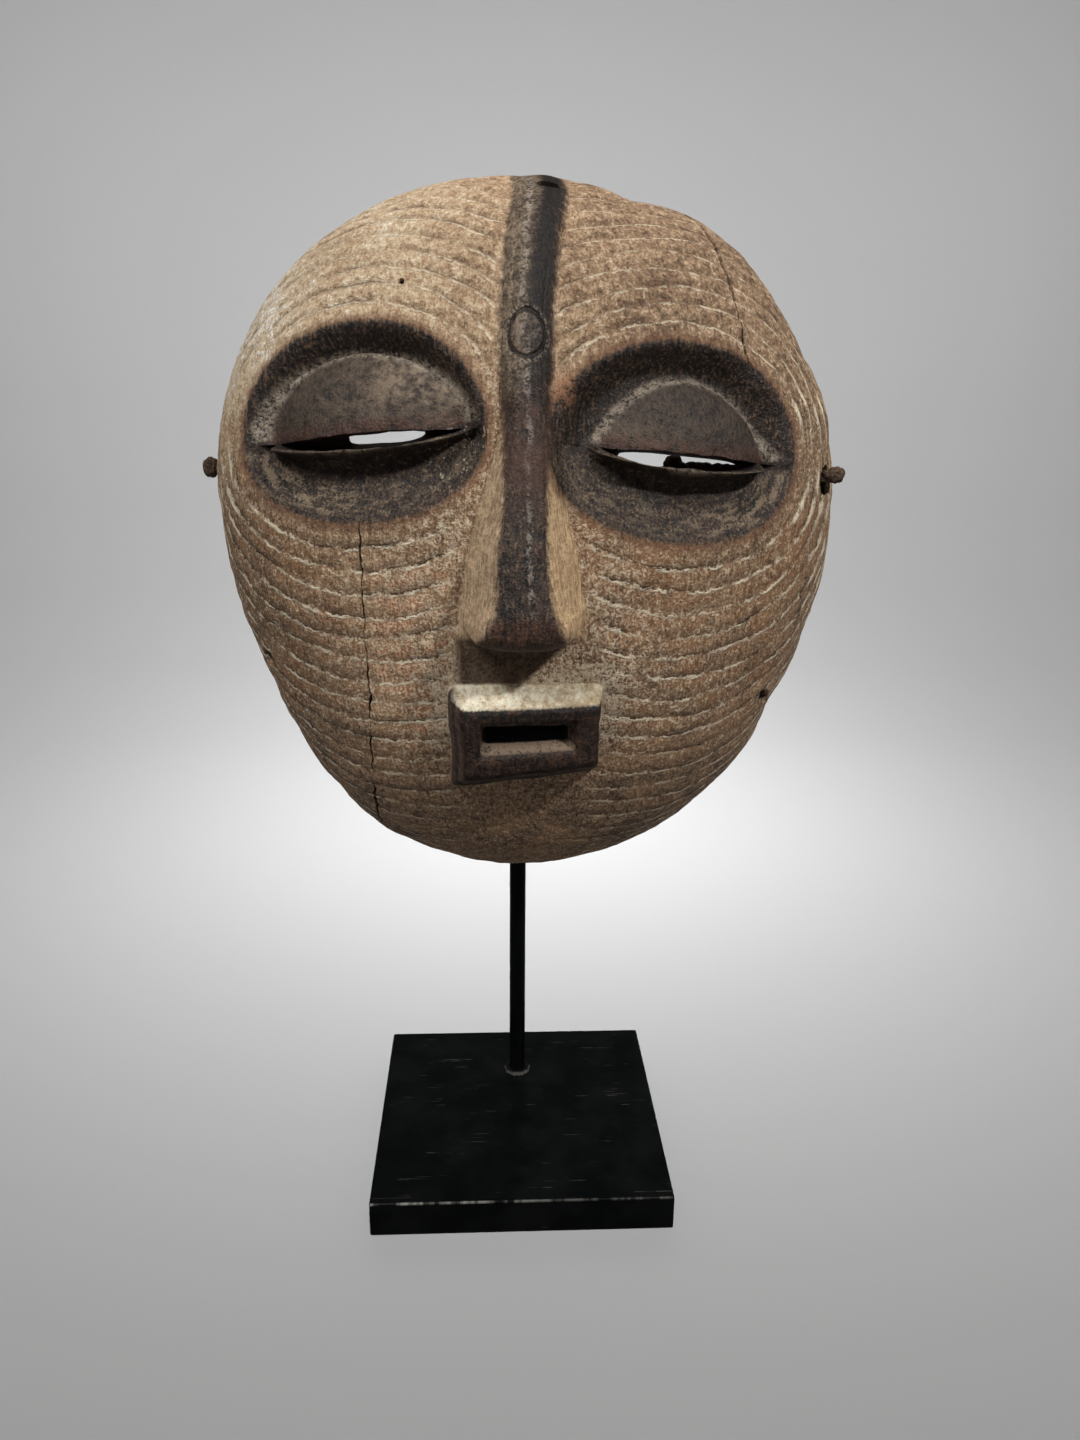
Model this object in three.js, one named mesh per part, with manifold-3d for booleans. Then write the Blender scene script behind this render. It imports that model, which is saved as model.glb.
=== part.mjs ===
// A carved wooden face mask, with a cord through its temples, on a steel rod and a square base.
// Millimetres, +Z up. The origin is the middle of the base's underside and the face looks along -Y.
// Places on the mask are given on its unrolled skin: p to the right and q up, both measured along
// the surface from the middle of the mask, and a height above the skin.
import * as THREE from "three";
import { mergeVertices } from "three/addons/utils/BufferGeometryUtils.js";
import Module from "manifold-3d";

const wasm = await Module();
wasm.setup();

// Stand
const BASE_SIDE = 150;
const BASE_THICK = 18.6;
const BASE_CHAMFER = 0.8;
const ROD_DIAMETER = 8.8;
const ROD_SIDES = 14;
const ROD_BACK = 35.7;
const FOOT_RING = { radius: 7.2, height: 2.4, sides: 16 };
const HOOK = { reach: 30, bend: 16, bendSteps: 6, barHalf: 34, barDiameter: 7 };
const TOUCH_GAP = 0.3;

// Outline of the mask, from its middle
const MIDDLE = { x: -2.7, z: 355.7 };
const HALF_WIDTH = { left: 136, right: 147.5 };
const CROWN = 132.5;
const CHIN = 187.5;
const ROUNDNESS = { crown: 2.08, chinLeft: 2.0, chinRight: 2.15 };
// Where the carver left the outline flat or full: direction and spread in degrees, and millimetres
const UNEVEN = [
  { at: 28, spread: 9, by: -2.2 },
  { at: 53, spread: 9, by: 2.2 },
  { at: 68, spread: 6, by: -2.0 },
  { at: -143, spread: 12, by: -2.5 },
  { at: -114, spread: 10, by: 2.0 },
  { at: -38, spread: 6, by: -2.0 },
  { at: -10, spread: 9, by: 2.0 },
  { at: 176, spread: 9, by: 0.7 },
];

// Depth of the mask
const FRONT_Y = -82;
const WIDEST_Y = 8;
const RIM_Y = ROD_BACK - ROD_DIAMETER / 2 - TOUCH_GAP;
const DOME_POWER = 2.3;
const RIM_TUCK = 0.03;
const WALL = { front: 21, crown: 19, chin: 25, temple: 30 };

// Eye sockets: the middle of the slit, its tilt in degrees, and how far the socket reaches from it
const LEFT_EYE = { p: -65.5, q: 26, tilt: 4.7, left: 57.5, right: 52.5, up: 45, down: 35 };
const RIGHT_EYE = { p: 70.5, q: 18.7, tilt: -5, left: 61, right: 52, up: 45, down: 36 };
const SOCKET_POWER = 2.1;
const SOCKET_DEPTH = 11;
const BROW_SHARE = 0.32;
const LID = { half: 46.5, height: 30.5, bulge: 9.5, skew: 0.12 };
const UNDER_LID = 9;
// Each slit narrows to a throat in the wall and runs on into the hollow
const SLIT = { half: 42.5, height: 6.8, throatHeight: 6.4 };
const LEFT_THROAT = [
  { x: -60, y: -50, z: 380.7, half: 13.2 },
  { x: -61.8, y: -20, z: 379.5, half: 14.2 },
];
const RIGHT_THROAT = [
  { x: 66.5, y: -50, z: 369.6, half: 24 },
  { x: 71, y: -20, z: 368, half: 26 },
];

// Grooves round the sockets
const GROOVE = { pitch: 8.8, upwardLess: 1.0, depth: 1.3, rimMargin: 11, most: 28 };
const SOCKET_ROWS = [0, 0.2, 0.38, 0.52, 0.63, 0.72, 0.84, 1];
const MIDLINE_STEP = 18;
const RIM_STEPS = 22;

// Brow ridge and nose: stations down the face, each with its middle, half widths and height
const RIDGE = [
  { q: 152, p: 10, front: 8, foot: 12, height: 0.3, crown: 0.6 },
  { q: 130, p: 10, front: 8.4, foot: 12.5, height: 2.2, crown: 1.2 },
  { q: 105, p: 6, front: 7.6, foot: 11.5, height: 3.4, crown: 1.5 },
  { q: 80, p: 2.9, front: 6, foot: 10, height: 4.0, crown: 1.5 },
  { q: 58, p: 2.4, front: 6, foot: 10, height: 4.6, crown: 1.2 },
  { q: 31, p: 2.4, front: 5.5, foot: 10, height: 6.5, crown: 1.2 },
  { q: 8, p: 1.8, front: 6.3, foot: 15, height: 12.5, crown: 1.2 },
  { q: -18, p: 0.6, front: 8.9, foot: 21.6, height: 20.5, crown: 1.0 },
  { q: -36, p: 0.9, front: 12.8, foot: 24.6, height: 25.3, crown: 0.8 },
  { q: -46, p: 1.3, front: 16.2, foot: 26, height: 26.5, crown: 0.6 },
  { q: -51, p: 1.0, front: 15.4, foot: 26, height: 24.5, crown: 0.4 },
];
const NOSE_UNDERSIDE = { q: -54.8, p: -0.6, front: 13, foot: 25.6, height: 18, crown: 0 };
const SUNK = 6;

// Mouth: four-cornered outlines on the skin, with p for the sides and q for the corners
const MOUTH_FOOT = { left: -30.5, right: 35.5, topLeft: -76.5, topRight: -76, bottomLeft: -129, bottomRight: -120 };
const MOUTH_FACE = { left: -22.5, right: 32.6, topLeft: -82, topRight: -80, bottomLeft: -113.2, bottomRight: -106.8 };
const MOUTH_HEIGHT = 15;
const POCKET = { left: -16.2, right: 23.6, topLeft: -87, topRight: -85.5, bottomLeft: -103.2, bottomRight: -100.6 };
const POCKET_DEPTH = 6.5;
const POCKET_SLOPE = 1.8;
const MOUTH_SLOT = { left: -14.6, right: 20.2, topLeft: -92, topRight: -91, bottomLeft: -99.4, bottomRight: -97.8 };
const SLOT_DEPTH = 52;

// Holes through the rim, and the cord through the temples
const TOP_HOLE = { p: 13, q: 132.5, half: 5.0, high: 3.8, depth: 30 };
const JAW_HOLES = [
  { angle: -146.5, y: -30, radius: 4.6 },
  { angle: -39, y: -35, radius: 4.6 },
];
const TEMPLE_HOLES = [
  { from: [-170, 3, 364], to: [-80, 3, 362], half: 4.8, high: 5.2 },
  { from: [155, -41, 361.4], to: [95, -12, 361.4], half: 7.4, high: 6.8 },
];
const HOLE_SIDES = 11;
const CORD_DIAMETER = 6;
const CORD_ROUTE = [
  [-143.5, 3, 363.6],
  [-132, 3, 363.2],
  [-108, 3, 362.5],
  [-84, 5, 357],
  [-50, 8, 350],
  [-5, 9, 347],
  [40, 6, 350],
  [57, 3, 356.5],
  [70, -2, 364.5],
  [84, -7, 363.5],
  [98, -13, 363],
  [112, -20, 363],
  [130, -28.5, 363.6],
  [141, -33, 364.6],
];
const KNOTS = [
  { at: [-143.4, 3, 363.7], size: [4.1, 5, 5.6] },
  { at: [71, -2, 366.6], size: [5.8, 4.8, 5.4] },
  { at: [139.8, -32, 364.3], size: [4.4, 3.8, 3.7] },
];

const rad = THREE.MathUtils.degToRad;

// Joining and cutting
function solidOf(geometry) {
  const bare = geometry.clone();
  bare.deleteAttribute("normal");
  bare.deleteAttribute("uv");
  const merged = mergeVertices(bare, 1e-3);
  return new wasm.Manifold(new wasm.Mesh({
    numProp: 3,
    vertProperties: new Float32Array(merged.attributes.position.array),
    triVerts: new Uint32Array(merged.index.array),
  }));
}

function geometryOf(solid) {
  const mesh = solid.getMesh();
  const geometry = new THREE.BufferGeometry();
  geometry.setAttribute("position", new THREE.BufferAttribute(mesh.vertProperties, 3));
  geometry.setIndex(new THREE.BufferAttribute(mesh.triVerts, 1));
  return geometry;
}

function geometryFrom(triangles) {
  const geometry = new THREE.BufferGeometry();
  geometry.setFromPoints(triangles.flat());
  return mergeVertices(geometry, 1e-3);
}

// Six times the volume that triangles enclose, negative where they face in
function volumeSign(triangles) {
  return triangles.reduce((sum, [a, b, c]) => sum + a.dot(b.clone().cross(c)), 0);
}

// A closed solid through rings of points, each ring with the same number of points
function loft(rings) {
  const triangles = [];
  const count = rings[0].length;
  for (let i = 0; i + 1 < rings.length; i += 1) {
    for (let j = 0; j < count; j += 1) {
      const k = (j + 1) % count;
      triangles.push([rings[i][j], rings[i + 1][j], rings[i + 1][k]]);
      triangles.push([rings[i][j], rings[i + 1][k], rings[i][k]]);
    }
  }
  for (let j = 1; j + 1 < count; j += 1) {
    const last = rings[rings.length - 1];
    triangles.push([rings[0][0], rings[0][j], rings[0][j + 1]]);
    triangles.push([last[0], last[j + 1], last[j]]);
  }
  const outward = volumeSign(triangles) > 0 ? triangles : triangles.map(([a, b, c]) => [a, c, b]);
  return solidOf(geometryFrom(outward));
}

// The egg-shaped outline as a radius, for a direction in radians
function outlineRadius(angle) {
  const across = Math.abs(Math.cos(angle)) / (Math.cos(angle) < 0 ? HALF_WIDTH.left : HALF_WIDTH.right);
  const upright = Math.abs(Math.sin(angle)) / (Math.sin(angle) > 0 ? CROWN : CHIN);
  const chinPower = Math.cos(angle) < 0 ? ROUNDNESS.chinLeft : ROUNDNESS.chinRight;
  const power = Math.sin(angle) > 0 ? ROUNDNESS.crown : chinPower;
  const radius = (across ** power + upright ** power) ** (-1 / power);
  return UNEVEN.reduce((sum, { at, spread, by }) => {
    const away = THREE.MathUtils.euclideanModulo(THREE.MathUtils.radToDeg(angle) - at + 180, 360) - 180;
    return sum + by * Math.exp(-((away / spread) ** 2));
  }, radius);
}

// The curve from the front of the dome round to its rim: share of the outline radius, y and length
const MEAN_RADIUS = 150;
const MERIDIAN = [];
function addMeridian(share, y) {
  const before = MERIDIAN[MERIDIAN.length - 1] ?? { share: 0, y: FRONT_Y, length: 0 };
  const step = Math.hypot((share - before.share) * MEAN_RADIUS, y - before.y);
  MERIDIAN.push({ share, y, length: before.length + step });
}
for (let i = 0; i <= 200; i += 1) {
  const turn = (i / 200) * (Math.PI / 2);
  const ahead = Math.max(0, Math.cos(turn)) ** (2 / DOME_POWER);
  addMeridian(Math.sin(turn) ** (2 / DOME_POWER), WIDEST_Y - (WIDEST_Y - FRONT_Y) * ahead);
}
for (let i = 1; i <= 10; i += 1) {
  addMeridian(1 - RIM_TUCK * (i / 10) ** 2, WIDEST_Y + (RIM_Y - WIDEST_Y) * (i / 10));
}
const SKIN_LENGTH = MERIDIAN[MERIDIAN.length - 1].length;

function meridianAt(length) {
  const at = THREE.MathUtils.clamp(length, 0, SKIN_LENGTH);
  let i = 1;
  while (i < MERIDIAN.length - 1 && MERIDIAN[i].length < at) i += 1;
  const [a, b] = [MERIDIAN[i - 1], MERIDIAN[i]];
  const part = (at - a.length) / (b.length - a.length);
  return { share: a.share + (b.share - a.share) * part, y: a.y + (b.y - a.y) * part };
}

// A point of the unrolled skin in space, raised by a height along the dome's normal
function onSkin(p, q, height = 0) {
  const angle = Math.atan2(q, p);
  const radius = outlineRadius(angle);
  const length = Math.hypot(p, q) * (MEAN_RADIUS / radius);
  const here = meridianAt(length);
  const [before, after] = [meridianAt(length - 2), meridianAt(length + 2)];
  const out = (after.share - before.share) * radius;
  const back = after.y - before.y;
  const size = Math.hypot(out, back);
  const reach = here.share * radius + (height * back) / size;
  return new THREE.Vector3(
    MIDDLE.x + reach * Math.cos(angle),
    here.y - (height * out) / size,
    MIDDLE.z + reach * Math.sin(angle),
  );
}

// A corner box on the skin from two trapezoids, one sunk and one raised
function skinBlock(foot, footHeight, face, faceHeight) {
  const ring = (c, height) => [
    onSkin(c.left, c.bottomLeft, height),
    onSkin((c.left + c.right) / 2, (c.bottomLeft + c.bottomRight) / 2, height),
    onSkin(c.right, c.bottomRight, height),
    onSkin(c.right, (c.bottomRight + c.topRight) / 2, height),
    onSkin(c.right, c.topRight, height),
    onSkin((c.left + c.right) / 2, (c.topLeft + c.topRight) / 2, height),
    onSkin(c.left, c.topLeft, height),
    onSkin(c.left, (c.bottomLeft + c.topLeft) / 2, height),
  ];
  return loft([ring(foot, footHeight), ring(face, faceHeight)]);
}

// Eye sockets
function socketRadius(eye, angle) {
  const turned = angle - rad(eye.tilt);
  const across = Math.abs(Math.cos(turned)) / (Math.cos(turned) < 0 ? eye.left : eye.right);
  const upright = Math.abs(Math.sin(turned)) / (Math.sin(turned) > 0 ? eye.up : eye.down);
  return (across ** SOCKET_POWER + upright ** SOCKET_POWER) ** (-1 / SOCKET_POWER);
}

function socketHeight(eye, angle, share) {
  const turned = angle - rad(eye.tilt);
  const reach = share * socketRadius(eye, angle);
  const along = reach * Math.cos(turned);
  const above = reach * Math.sin(turned);
  if (above < -1e-6) return -UNDER_LID * (1 - share ** 2.2);
  const wall = THREE.MathUtils.smoothstep(1 - share, 0, BROW_SHARE);
  const across = Math.min(1, Math.abs(along / LID.half));
  const lidHeight = LID.height * (1 - across ** 2.4) ** 0.75 * (1 + (LID.skew * along) / LID.half);
  const rise = lidHeight > 1 ? Math.max(0, 1 - (above / lidHeight) ** 2) ** 0.6 : 0;
  return -SOCKET_DEPTH * wall + LID.bulge * rise * (1 - across ** 3) ** 0.5;
}

// Directions from the slit's middle to the places on an edge. Those next to the slit's line are
// drawn onto it, just above and just below, so that the lid gets a straight lower edge.
function socketAngles(eye, edge) {
  const angles = edge.map(([p, q]) => Math.atan2(q - eye.q, p - eye.p));
  for (const end of [rad(eye.tilt), rad(eye.tilt) + Math.PI]) {
    for (const side of [1, -1]) {
      const away = angles.map((angle) => THREE.MathUtils.euclideanModulo(side * (angle - end), 2 * Math.PI));
      angles[away.indexOf(Math.min(...away))] = end + side * 1e-3;
    }
  }
  return angles;
}

// How far a place on the skin is from the rim, and the share of a groove's depth left there
function skinLeft(p, q) {
  return (SKIN_LENGTH * outlineRadius(Math.atan2(q, p))) / MEAN_RADIUS - Math.hypot(p, q);
}

function grooveShare(p, q) {
  return THREE.MathUtils.smoothstep(skinLeft(p, q), GROOVE.rimMargin, 2 * GROOVE.rimMargin);
}

// One half of the face: columns fan out from the slit to the half's edge, and rows follow the
// socket and then the grooves, a bottom and a crest in turn. The edge itself is at half depth.
function halfFace(eye, edge) {
  const inside = socketAngles(eye, edge);
  const columns = edge.map(([p, q], i) => {
    const outside = Math.atan2(q - eye.q, p - eye.p);
    const limit = Math.hypot(p - eye.p, q - eye.q);
    const socket = socketRadius(eye, outside);
    const pitch = GROOVE.pitch - GROOVE.upwardLess * Math.sin(outside);
    const column = SOCKET_ROWS.map((share) => ({
      angle: inside[i],
      reach: share * socketRadius(eye, inside[i]),
      height: socketHeight(eye, inside[i], share),
    }));
    for (let row = 1; row <= 2 * GROOVE.most; row += 1) {
      column.push({ angle: outside, reach: socket + (row * pitch) / 2, height: row % 2 ? 0 : -GROOVE.depth });
    }
    column.push({ angle: outside, reach: Infinity, height: 0 });
    const last = onSkin(p, q, (-GROOVE.depth / 2) * grooveShare(p, q));
    return column.map(({ angle, reach, height }) => {
      if (reach > limit - 0.3 * pitch) return last;
      const [pp, qq] = [eye.p + reach * Math.cos(angle), eye.q + reach * Math.sin(angle)];
      if (skinLeft(pp, qq) < GROOVE.rimMargin) return last;
      return onSkin(pp, qq, reach > socket ? height * grooveShare(pp, qq) : height);
    });
  });
  const triangles = [];
  for (let i = 0; i + 1 < columns.length; i += 1) {
    for (let row = 0; row + 1 < columns[i].length; row += 1) {
      const [a, b] = [columns[i][row], columns[i][row + 1]];
      const [c, d] = [columns[i + 1][row + 1], columns[i + 1][row]];
      triangles.push([a, b, c], [a, c, d]);
    }
  }
  const nearly = (a, b) => a.distanceTo(b) < 2e-3;
  return triangles.filter(([a, b, c]) => !nearly(a, b) && !nearly(b, c) && !nearly(c, a));
}

function skinRim(angle) {
  const reach = (SKIN_LENGTH * outlineRadius(angle)) / MEAN_RADIUS;
  return [reach * Math.cos(angle), reach * Math.sin(angle)];
}

function faceSolid() {
  const [, top] = skinRim(Math.PI / 2);
  const [, bottom] = skinRim(-Math.PI / 2);
  const steps = Math.round((top - bottom) / MIDLINE_STEP);
  const midline = [];
  for (let i = 0; i <= steps; i += 1) midline.push([0, top + ((bottom - top) * i) / steps]);
  const leftRim = [];
  const rightRim = [];
  for (let i = 1; i < RIM_STEPS; i += 1) {
    leftRim.push(skinRim(-Math.PI / 2 - (Math.PI * i) / RIM_STEPS));
    rightRim.push(skinRim(Math.PI / 2 - (Math.PI * i) / RIM_STEPS));
  }
  const leftEdge = [...midline, ...leftRim, midline[0]];
  const rightEdge = [...midline.slice().reverse(), ...rightRim, midline[steps]];
  const front = [...halfFace(LEFT_EYE, leftEdge), ...halfFace(RIGHT_EYE, rightEdge)];
  const rim = [midline[0], ...rightRim, midline[steps], ...leftRim];
  const behind = new THREE.Vector3(MIDDLE.x, RIM_Y, MIDDLE.z);
  rim.forEach(([p, q], i) => {
    const [pn, qn] = rim[(i + 1) % rim.length];
    front.push([onSkin(p, q), behind, onSkin(pn, qn)]);
  });
  const outward = volumeSign(front) > 0 ? front : front.map(([a, b, c]) => [a, c, b]);
  return solidOf(geometryFrom(outward));
}

// The brow ridge, running down into the nose
function ridgeSolid() {
  const ring = ({ q, p, front, foot, height, crown }) => [
    onSkin(p - foot, q, -SUNK),
    onSkin(p - foot, q, 0),
    onSkin(p - front, q, height),
    onSkin(p, q, height + crown),
    onSkin(p + front, q, height),
    onSkin(p + foot, q, 0),
    onSkin(p + foot, q, -SUNK),
  ];
  return loft([...RIDGE.map(ring), ring(NOSE_UNDERSIDE)]);
}

// The mouth: a block with a sloping pocket and a slot
function mouthSolid() {
  return skinBlock(MOUTH_FOOT, -SUNK, MOUTH_FACE, MOUTH_HEIGHT);
}

function mouthCutters() {
  const inset = (c, by) => ({
    left: c.left + by,
    right: c.right - by,
    topLeft: c.topLeft - by,
    topRight: c.topRight - by,
    bottomLeft: c.bottomLeft + by,
    bottomRight: c.bottomRight + by,
  });
  const floor = MOUTH_HEIGHT - POCKET_DEPTH;
  const mouthOfPocket = inset(POCKET, -POCKET_SLOPE / POCKET_DEPTH);
  return [
    skinBlock(inset(POCKET, POCKET_SLOPE), floor, mouthOfPocket, MOUTH_HEIGHT + 1),
    skinBlock(MOUTH_SLOT, MOUTH_HEIGHT - SLOT_DEPTH, MOUTH_SLOT, MOUTH_HEIGHT),
  ];
}

// The hollow behind the face
function hollowSolid() {
  const rings = [];
  const around = 40;
  const deep = RIM_Y - FRONT_Y - WALL.front;
  const wallAt = (angle) => {
    const upright = Math.sin(angle) > 0 ? WALL.crown : WALL.chin;
    return WALL.temple * Math.cos(angle) ** 2 + upright * Math.sin(angle) ** 2;
  };
  const ringAt = (share, y) => {
    const ring = [];
    for (let i = 0; i < around; i += 1) {
      const angle = (2 * Math.PI * i) / around;
      const reach = share * (outlineRadius(angle) - wallAt(angle));
      ring.push(new THREE.Vector3(MIDDLE.x + reach * Math.cos(angle), y, MIDDLE.z + reach * Math.sin(angle)));
    }
    return ring;
  };
  for (const turn of [6, 16, 27, 38, 50, 62, 74, 90]) {
    const share = Math.sin(rad(turn)) ** (2 / DOME_POWER);
    rings.push(ringAt(share, RIM_Y - deep * Math.cos(rad(turn)) ** (2 / DOME_POWER)));
  }
  rings.push(ringAt(1, RIM_Y + 5));
  return loft(rings);
}

// A slit: a lens at the lid and a squarer throat behind it
function slitSolid(eye, throat) {
  const [c, s] = [Math.cos(rad(eye.tilt)), Math.sin(rad(eye.tilt))];
  const ring = (half, high, squareness, place) => {
    const points = [];
    for (let i = 0; i < 16; i += 1) {
      const turn = (2 * Math.PI * i) / 16;
      const along = half * Math.sign(Math.cos(turn)) * Math.abs(Math.cos(turn)) ** squareness;
      const above = (high / 2) * Math.sign(Math.sin(turn)) * Math.abs(Math.sin(turn)) ** squareness;
      points.push(place(along * c - above * s, along * s + above * c));
    }
    return points;
  };
  const drop = SLIT.height * 0.35;
  const onFace = (height) => (across, up) => onSkin(eye.p + across + drop * s, eye.q + up - drop * c, height);
  const behind = throat.map(({ x, y, z, half }) =>
    ring(half, SLIT.throatHeight, 0.5, (across, up) => new THREE.Vector3(x + across, y, z + up)));
  return loft([
    ring(SLIT.half, SLIT.height, 1, onFace(4)),
    ring(SLIT.half * 0.95, SLIT.height, 1, onFace(-UNDER_LID)),
    ...behind,
  ]);
}

// A straight hole from one point to another, with an oval section
function holeSolid(from, to, wide, high) {
  const axis = to.clone().sub(from).normalize();
  const sideways = new THREE.Vector3(0, 0, 1).cross(axis).normalize();
  const upward = axis.clone().cross(sideways);
  const ring = (middle) => {
    const points = [];
    for (let i = 0; i < HOLE_SIDES; i += 1) {
      const turn = (2 * Math.PI * i) / HOLE_SIDES;
      const across = sideways.clone().multiplyScalar(wide * Math.cos(turn));
      points.push(middle.clone().add(across).addScaledVector(upward, high * Math.sin(turn)));
    }
    return points;
  };
  return loft([ring(from), ring(to)]);
}

function rimHoles() {
  const { p, q, half, high, depth } = TOP_HOLE;
  const holes = [holeSolid(onSkin(p, q, 8), onSkin(p, q, -depth), half, high)];
  for (const { angle, y, radius } of JAW_HOLES) {
    const at = (reach) => new THREE.Vector3(
      MIDDLE.x + reach * Math.cos(rad(angle)), y, MIDDLE.z + reach * Math.sin(rad(angle)));
    const out = outlineRadius(rad(angle));
    holes.push(holeSolid(at(out + 10), at(out - 55), radius, radius));
  }
  for (const { from, to, half: wide, high: tall } of TEMPLE_HOLES) {
    holes.push(holeSolid(new THREE.Vector3(...from), new THREE.Vector3(...to), wide, tall));
  }
  return holes;
}

function maskGeometry() {
  let mask = faceSolid().add(ridgeSolid()).add(mouthSolid());
  const cutters = [
    hollowSolid(),
    slitSolid(LEFT_EYE, LEFT_THROAT),
    slitSolid(RIGHT_EYE, RIGHT_THROAT),
    ...mouthCutters(),
    ...rimHoles(),
  ];
  for (const cutter of cutters) mask = mask.subtract(cutter);
  return geometryOf(mask);
}

// The cord: a tube along its route, with a knot at each end and a hitch inside
function cordGeometry() {
  const route = new THREE.CatmullRomCurve3(CORD_ROUTE.map((point) => new THREE.Vector3(...point)));
  const section = new THREE.Shape();
  section.absarc(0, 0, CORD_DIAMETER / 2, 0, 2 * Math.PI);
  const tube = new THREE.ExtrudeGeometry(section, { steps: 27, curveSegments: 3, extrudePath: route });
  let cord = solidOf(tube);
  for (const { at, size } of KNOTS) {
    const knot = new THREE.SphereGeometry(1, 8, 6);
    knot.scale(...size);
    knot.translate(...at);
    cord = cord.add(solidOf(knot));
  }
  return geometryOf(cord);
}

// The line of the rod: straight up, a quarter turn forward and a short straight arm. Its stations
// are spaced by this class and not by length, so the long straight needs only one step.
class RodLine extends THREE.Curve {
  constructor(top) {
    super();
    this.top = top;
  }

  getUtoTmapping(u) {
    return u;
  }

  getPoint(t) {
    const station = t * (HOOK.bendSteps + 2);
    const bendFoot = this.top - HOOK.bend;
    if (station <= 1) return new THREE.Vector3(0, ROD_BACK, BASE_THICK + (bendFoot - BASE_THICK) * station);
    const turn = Math.min(1, (station - 1) / HOOK.bendSteps) * (Math.PI / 2);
    const past = Math.max(0, station - 1 - HOOK.bendSteps) * (HOOK.reach - HOOK.bend);
    return new THREE.Vector3(
      0,
      ROD_BACK - HOOK.bend * (1 - Math.cos(turn)) - past,
      bendFoot + HOOK.bend * Math.sin(turn),
    );
  }
}

// The rod stands on its welded foot and ends in a short cross bar under the crown of the hollow
function rodGeometry(roofZ) {
  const top = roofZ - TOUCH_GAP - HOOK.barDiameter / 2;
  const section = new THREE.Shape();
  section.absarc(0, 0, ROD_DIAMETER / 2, 0, 2 * Math.PI);
  const rod = new THREE.ExtrudeGeometry(section, {
    steps: HOOK.bendSteps + 2,
    curveSegments: ROD_SIDES / 2,
    extrudePath: new RodLine(top),
  });
  const bar = new THREE.CylinderGeometry(HOOK.barDiameter / 2, HOOK.barDiameter / 2, 2 * HOOK.barHalf, ROD_SIDES);
  bar.rotateZ(Math.PI / 2);
  bar.translate(0, ROD_BACK - HOOK.reach, top);
  const ring = new THREE.LatheGeometry([
    new THREE.Vector2(0, 0),
    new THREE.Vector2(FOOT_RING.radius, 0),
    new THREE.Vector2(FOOT_RING.radius * 0.82, FOOT_RING.height * 0.5),
    new THREE.Vector2(ROD_DIAMETER / 2 - 1, FOOT_RING.height),
    new THREE.Vector2(0, FOOT_RING.height),
  ], FOOT_RING.sides);
  ring.rotateX(Math.PI / 2);
  ring.translate(0, ROD_BACK, BASE_THICK);
  return geometryOf(solidOf(rod).add(solidOf(bar)).add(solidOf(ring)));
}

function baseGeometry() {
  const half = BASE_SIDE / 2 - BASE_CHAMFER;
  const square = new THREE.Shape();
  square.moveTo(-half, -half);
  square.lineTo(half, -half);
  square.lineTo(half, half);
  square.lineTo(-half, half);
  square.closePath();
  const block = new THREE.ExtrudeGeometry(square, {
    depth: BASE_THICK - 2 * BASE_CHAMFER,
    bevelEnabled: true,
    bevelThickness: BASE_CHAMFER,
    bevelSize: BASE_CHAMFER,
    bevelSegments: 1,
  });
  block.translate(0, 0, BASE_CHAMFER);
  return block;
}

// The roof of the hollow over the cross bar
function roofAt(y) {
  const deep = RIM_Y - FRONT_Y - WALL.front;
  const share = (1 - ((RIM_Y - y) / deep) ** DOME_POWER) ** (1 / DOME_POWER);
  const across = HOOK.barHalf / (CROWN - WALL.crown);
  return MIDDLE.z + share * (CROWN - WALL.crown) * Math.sqrt(1 - across ** 2) - 2;
}

const WOOD = new THREE.MeshStandardMaterial({ color: 0x9c7a55, roughness: 0.85, metalness: 0 });
const FIBRE = new THREE.MeshStandardMaterial({ color: 0x4a382b, roughness: 0.95, metalness: 0 });
const BLACK_STEEL = new THREE.MeshStandardMaterial({ color: 0x121312, roughness: 0.45, metalness: 0.3 });

function piece(name, geometry, material) {
  geometry.computeVertexNormals();
  const mesh = new THREE.Mesh(geometry, material);
  mesh.name = name;
  return mesh;
}

const group = new THREE.Group();
group.add(piece("mask", maskGeometry(), WOOD));
group.add(piece("temple_cord", cordGeometry(), FIBRE));
group.add(piece("stand_rod", rodGeometry(roofAt(ROD_BACK - HOOK.reach)), BLACK_STEEL));
group.add(piece("stand_base", baseGeometry(), BLACK_STEEL));

export default group;
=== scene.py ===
import math

import bpy
import numpy as np
from mathutils import Matrix, Vector


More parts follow.
